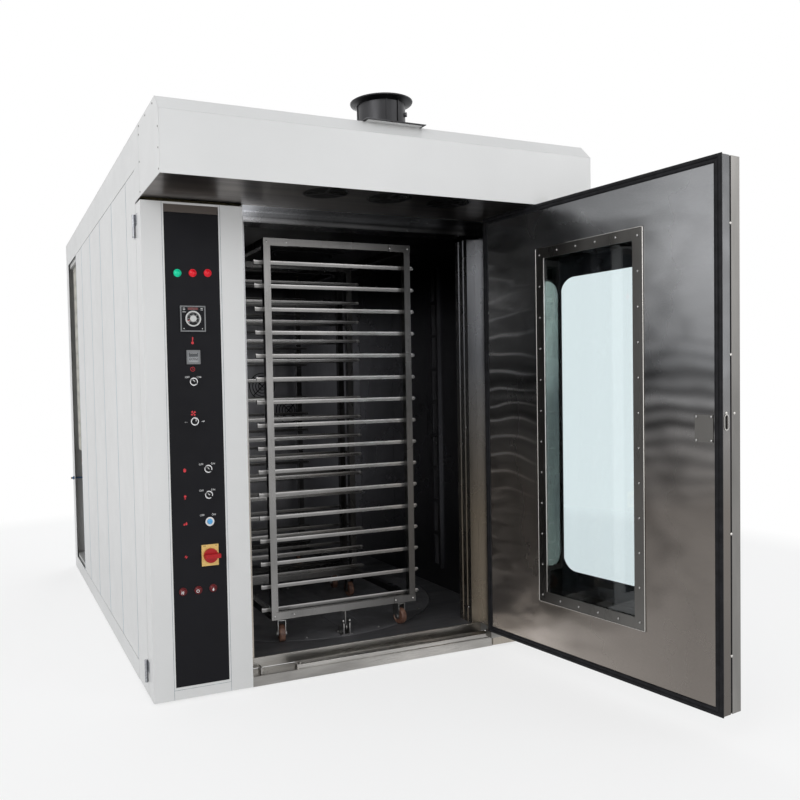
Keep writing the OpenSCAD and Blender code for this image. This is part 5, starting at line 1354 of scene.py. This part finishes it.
class OVEN_OT_dials(bpy.types.Operator):
    """Fit the controller's face, the dial's scale and figures, and the timer's display"""

    bl_idname = "oven.dials"
    bl_label = "Dials"

    def execute(self, context):
        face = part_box("control_panel")[0].y
        self.controller(-716, 1474, face - 5.4 * MM)
        # the groove's floor lies 6.05 mm behind the wheel's front edge
        self.scale(-716, 1474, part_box("temperature_dial")[0].y + 6.05 * MM)
        self.timer(-718, 1327, face - 4.9 * MM)
        return {"FINISHED"}

    def controller(self, cx, cz, floor):
        """The square face behind the wheel, with its display and marks."""
        face = upright(cx * MM, floor, cz * MM)
        over = upright(cx * MM, floor - 0.6 * MM, cz * MM)

        def marks(form):
            for z in (40, 34):
                for x0, x1 in ((-39, -30), (30, 39)):
                    add_prism(form, oblong(x0, z - 0.9, x1, z + 0.9), INK, over)
            add_prism(form, oblong(-41, 25, -27, 26.6), INK, over)
            for x in (-36, 36):
                add_prism(form, disc(2.0 * MM, (x * MM, -38 * MM), 16), INK, over)

        for name, corners, thick, place, skin, slot_name in (
                ("controller_face", (-44, -44.5, 44, 44.5), 0.5 * MM, face, "black_panel", "black_plastic"),
                ("controller_display", (-20, 33.5, 20, 43), 0.4 * MM, over, "display_red", "red_plastic")):
            make_piece(name, lambda form: add_prism(form, oblong(*corners), thick, place), "column_cover",
                       skin)
        make_piece("controller_marks", marks, "column_cover", "white_ink")

    def scale(self, cx, cz, floor):
        """The dark graduated ring in the wheel's groove, with ticks, figures and a red pointer."""
        def at(turn, lift):
            return upright(cx * MM, floor - lift, cz * MM, turn)

        def ring(form):
            add_ring(form, 13.4, 24.7, 0.6 * MM, at(0, 0), 64)

        def ticks(form):
            for k in range(31):
                inner = 19.5 if k % 5 == 0 else 21.5
                add_prism(form, oblong(inner, -0.35, 24, 0.35), 0.25 * MM, at(225 - 9 * k, 0.65 * MM))
            for k in range(7):
                turn = math.radians(225 - 45 * k)
                spot = Matrix.Translation((16.6 * MM * math.cos(turn), 16.6 * MM * math.sin(turn), 0))
                add_words(form, str(50 * k), 3.6 * MM, at(0, 0.75 * MM) @ spot)

        def pointer(form):
            add_prism(form, in_mm(((14, -0.9), (23.5, -0.5), (23.5, 0.5), (14, 0.9))), 0.3 * MM,
                      at(200, 0.95 * MM))

        for name, build, skin, slot_name in (("dial_ring", ring, "knob", "black_plastic"),
                                             ("dial_ticks", ticks, "white_ink", "white_plastic"),
                                             ("dial_pointer", pointer, "red_ink", "red_plastic")):
            make_piece(name, build, "temperature_dial", skin)

    def timer(self, cx, cz, floor):
        """The timer's window: a display over four figure windows with their keys."""
        pitch = 8.7

        def at(lift):
            return upright(cx * MM, floor - lift * MM, cz * MM)

        def face_plate(form):
            add_prism(form, oblong(-19.6, -19.6, 19.6, 19.6), 0.5 * MM, at(0))
            for k in range(4):
                add_prism(form, oblong(-17 + pitch * k, -17.5, -10 + pitch * k, -13.5), 1.2 * MM, at(0.5))

        def glass_front(form):
            add_prism(form, oblong(-17.5, 1, 17.5, 17.5), 0.4 * MM, at(0.55))
            for k in range(4):
                add_prism(form, oblong(-17 + pitch * k, -12, -10 + pitch * k, -2), 0.4 * MM, at(0.55))

        def figures(form):
            for k, figure in enumerate("0030"):
                spot = Matrix.Translation(((-13.5 + pitch * k) * MM, -7 * MM, 0))
                add_words(form, figure, 8 * MM, at(1.05) @ spot)
            add_prism(form, oblong(-15, 14.2, 15, 15.0), 0.2 * MM, at(1.0))

        for name, build, skin, slot_name in (("timer_face", face_plate, "silver_face", "grey_plastic"),
                                             ("timer_display", glass_front, "display_grey", "black_plastic"),
                                             ("timer_figures", figures, "white_ink", "white_plastic")):
            make_piece(name, build, "column_cover", skin)


class OVEN_OT_knob_marks(bpy.types.Operator):
    """Mark the selectors with their white pointers"""

    bl_idname = "oven.knob_marks"
    bl_label = "Knob marks"

    def execute(self, context):
        mark = in_mm(((-1.3, 1), (1.3, 1), (1.0, 10), (-1.0, 10)))
        for switch, turn in (("time", 45), ("fan", -10), ("manual", 45), ("light", 45)):
            low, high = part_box("knob_" + switch)
            place = upright((low.x + high.x) / 2, low.y - 0.05 * MM, (low.z + high.z) / 2, turn)
            make_piece(f"knob_{switch}_pointer", lambda form: add_prism(form, mark, 0.3 * MM, place),
                       switch + "_knob", "white_ink")
        return {"FINISHED"}


class OVEN_OT_isolator_print(bpy.types.Operator):
    """Print the isolator's plate: its two marks and their strokes"""

    bl_idname = "oven.isolator_print"
    bl_label = "Isolator print"

    def execute(self, context):
        low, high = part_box("isolator_plate")
        cx, cz = (low.x + high.x) / 2, (low.z + high.z) / 2
        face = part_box("control_panel")[0].y - 4.3 * MM

        def build(form):
            for words, x in (("ON", 24), ("OFF", -22)):
                add_words(form, words, 6.5 * MM, upright(cx + x * MM, face, cz + 36 * MM))
            for k in range(12):
                add_prism(form, oblong(28.6, -0.5, 31.2, 0.5), INK, upright(cx, face, cz, 30 * k))

        make_piece("isolator_print", build, "column_cover", "dark")
        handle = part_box("isolator_handle")[0]
        place = upright(handle.x + 4 * MM, handle.y + 17.9 * MM, cz)
        make_piece("isolator_dot", lambda form: add_prism(form, disc(2.2 * MM, (3 * MM, 0), 14), INK, place),
                   "isolator_handle", "white_ink")
        return {"FINISHED"}


class OVEN_OT_panel_seams(bpy.types.Operator):
    """Lay the edges of the protective film along the side planks, with packing in their joints"""

    bl_idname = "oven.panel_seams"
    bl_label = "Panel seams"

    def execute(self, context):
        low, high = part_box("side_panels")
        first, pitch, gap = -611, 392, 2.5
        foot, head = 88 * MM, 2046 * MM
        # the left side ends at the open recess, the right side at the rear post
        joints = [(x, side, y, min(y + pitch, last))
                  for x, side, last in ((low.x, -1, 1255), (high.x, 1, 1745))
                  for y in range(first, last - 60, pitch)]

        def film(form):
            for x, side, start, stop in joints:
                x0, x1 = sorted((x, x + side * 0.25 * MM))
                for y in (start + gap, stop - gap - 3.0):
                    add_slab(form, (x0, y * MM, foot), (x1, (y + 3.0) * MM, head))

        def packing(form):
            for x, side, y, _ in joints:
                x0, x1 = sorted((x - side * 6 * MM, x - side * 8 * MM))
                add_slab(form, (x0, (y - 2.2) * MM, foot), (x1, (y + 2.2) * MM, head))

        make_piece("film_edges", film, "cabinet", "film")
        make_piece("joint_packing", packing, "cabinet", "joint")
        return {"FINISHED"}


class OVEN_OT_fixings(bpy.types.Operator):
    """Set the screws, rivets, bolts and plugs of the cabinet, the turntable and the trolleys"""

    bl_idname = "oven.fixings"
    bl_label = "Fixings"

    def execute(self, context):
        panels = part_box("rear_panels")[1]
        spots = [((x * MM, panels.y, z * MM), (0, 1, 0)) for z in range(120, 2121, 250)
                 for x in (-885, -20, 20, 885)]
        set_repeats("rear_screws", "domes", spots, 5.0 * MM, FLUSH, "zinc")
        spots = [((x * MM, y * MM, panels.z), (0, 0, 1)) for y in (-596, 201, 995)
                 for x in range(-860, 861, 215)]
        set_repeats("panel_screws", "domes", spots, 5.0 * MM, 2.4 * MM, "zinc")
        jambs = ((-471, -790, 160), (590, -790, 160), (590, -736, 180), (590, -790, 1000),
                 (590, -790, 1780), (-471, -790, 1000), (-471, -790, 1780))
        spots = [((x * MM, y * MM, z * MM), (1 if x < 0 else -1, 0, 0)) for x, y, z in jambs]
        set_repeats("jamb_screws", "domes", spots, 5.0 * MM, 2.6 * MM, "bright")

        low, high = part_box("hood_shell")
        for name, side, x, height in (("hood_rivets_left", -1, low.x, 1.6 * MM),
                                      ("hood_rivets_right", 1, high.x, FLUSH)):
            spots = [((x, low.y + 12 * MM, z * MM), (side, 0, 0)) for z in (1940, 2010, 2080)]
            spots += [((x, y * MM, z * MM), (side, 0, 0)) for y, z in
                      ((-1190, 2180), (-1060, 2180), (-935, 2180), (-930, 1940), (-930, 2050), (-930, 2150))]
            set_repeats(name, "domes", spots, 3.4 * MM, height, "dark_steel")

        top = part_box("turntable")[1].z + 1.5 * MM
        spots = [((*place, top), (0, 0, 1)) for radius, steps in ((690, 12), (200, 6))
                 for place in arc(radius * MM, 15, 375, steps)[:-1]]
        set_repeats("turntable_bolts", "bolts", spots, 7.5 * MM, 4.0 * MM, "zinc", "turntable")
        for side, front in (("front", -712.6 * MM), ("rear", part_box("trolley_rear_frame")[0].y + 0.2 * MM)):
            self.trolley("trolley_" + side, front, context.scene.oven_sizes.rivet)
        return {"FINISHED"}

    def trolley(self, body, front, rivet):
        """Plugs in the rails' right ends and rivets on the sleeves. front is the frame's front face,
        which its box doesn't give where that also holds the latch loop."""
        low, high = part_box(body + "_rails")
        spots = [((high.x + 0.4 * MM, y, (240 + 100 * k) * MM), (1, 0, 0)) for k in range(16)
                 for y in (low.y + 8.0 * MM, high.y - 8.0 * MM)]
        set_repeats(body + "_plugs", "round_plugs", spots, 6.2 * MM, 1.6 * MM, "white_wheel", body)
        low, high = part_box(body + "_frame")
        sleeve, post = 104 * MM, 14 * MM
        spots = [((x, front, z * MM), (0, -1, 0))
                 for x in (low.x + sleeve, high.x - sleeve, low.x + post, high.x - post)
                 for z in (215, 1824)]
        set_repeats(body + "_rivets", "domes", spots, rivet, 2.4 * MM, "bright", body)


class OVEN_OT_sill_edges(bpy.types.Operator):
    """Polish the worn edges of the threshold and the doorway"""

    bl_idname = "oven.sill_edges"
    bl_label = "Sill edges"

    def execute(self, context):
        left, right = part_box("sill")[0].x / MM + 2, 590
        for name, x0, x1, y, z in (("ledge_edge", left, right, -908.6, 42.8),
                                   ("lip_edge", left, right, -822.0, 88.0),
                                   ("kick_bar_edge", -295, right - 12, -904.0, 61.2)):
            path = [Vector((x, y, z)) * MM for x in (x0, x1)]
            set_sweep(name, path, False, 1.4 * MM, 4 * MM, "mirror", "cabinet")
        return {"FINISHED"}


class OVEN_OT_recess(bpy.types.Operator):
    """Run the two wires down the lagging and fit the fuel nipple's brass collar"""

    bl_idname = "oven.recess"
    bl_label = "Recess"

    def execute(self, context):
        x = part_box("rear_lagging")[0].x / MM
        # offsets from the lagging's face, then Y and Z
        for colour, path in (("red", ((-1, 1430, 830), (-3, 1432, 800), (-8, 1440, 770), (-6, 1452, 735),
                                      (10, 1468, 700), (40, 1480, 680))),
                             ("white", ((-1, 1442, 830), (-4, 1441, 795), (-6, 1436, 765), (-9, 1440, 735),
                                        (4, 1462, 712), (40, 1474, 684)))):
            set_sweep("wire_" + colour, [Vector((x + dx, y, z)) * MM for dx, y, z in path], False, 1.6 * MM,
                      8 * MM, "wire_" + colour, "cabinet")
        place = (Matrix.Translation((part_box("burner")[0].x + 2 * MM, 1745 * MM, 616 * MM))
                 @ Matrix.Rotation(math.radians(-90), 4, "Y"))
        make_piece("nipple_collar", lambda form: add_ring(form, 6.3, 9.4, 2.0 * MM, place, 32), "cabinet",
                   "brass")
        return {"FINISHED"}


class OVEN_PT_panel(bpy.types.Panel):
    """Lists the oven's steps and settings"""

    bl_label = "Rotary rack oven"
    bl_idname = "OVEN_PT_panel"
    bl_space_type = "VIEW_3D"
    bl_region_type = "UI"
    bl_category = "Oven"

    def draw(self, context):
        for operator in OPERATORS:
            self.layout.operator(operator.bl_idname)
        for group in (context.scene.oven_finishes, context.scene.oven_sizes, context.scene.oven_studio):
            box = self.layout.box()
            for name in group.bl_rna.properties.keys():
                if name not in ("rna_type", "name"):
                    box.prop(group, name)


GROUPS = {"oven_finishes": OvenFinishes, "oven_sizes": OvenSizes, "oven_studio": OvenStudio}
OPERATORS = (OVEN_OT_studio, OVEN_OT_finishes, OVEN_OT_door_seal, OVEN_OT_window, OVEN_OT_door_edge,
             OVEN_OT_prints, OVEN_OT_dials, OVEN_OT_knob_marks, OVEN_OT_isolator_print,
             OVEN_OT_panel_seams, OVEN_OT_fixings, OVEN_OT_sill_edges, OVEN_OT_recess)


def register():
    """Registers the settings, the operators and the panel."""
    for name, group in GROUPS.items():
        bpy.utils.register_class(group)
        setattr(bpy.types.Scene, name, bpy.props.PointerProperty(type=group))
    for operator in OPERATORS:
        bpy.utils.register_class(operator)
    bpy.utils.register_class(OVEN_PT_panel)


def unregister():
    """Takes them out again."""
    bpy.utils.unregister_class(OVEN_PT_panel)
    for operator in reversed(OPERATORS):
        bpy.utils.unregister_class(operator)
    for name, group in reversed(GROUPS.items()):
        delattr(bpy.types.Scene, name)
        bpy.utils.unregister_class(group)


def main():
    """Builds everything in order."""
    register()
    TREES["sweep"] = sweep_tree("sweep")
    for name, head in (("domes", dome_head), ("round_plugs", drum_head), ("bolts", drum_head)):
        TREES[name] = repeat_tree(name, head)
    for operator in OPERATORS:
        group, step = operator.bl_idname.split(".")
        getattr(getattr(bpy.ops, group), step)()


if __name__ == "__main__":
    main()
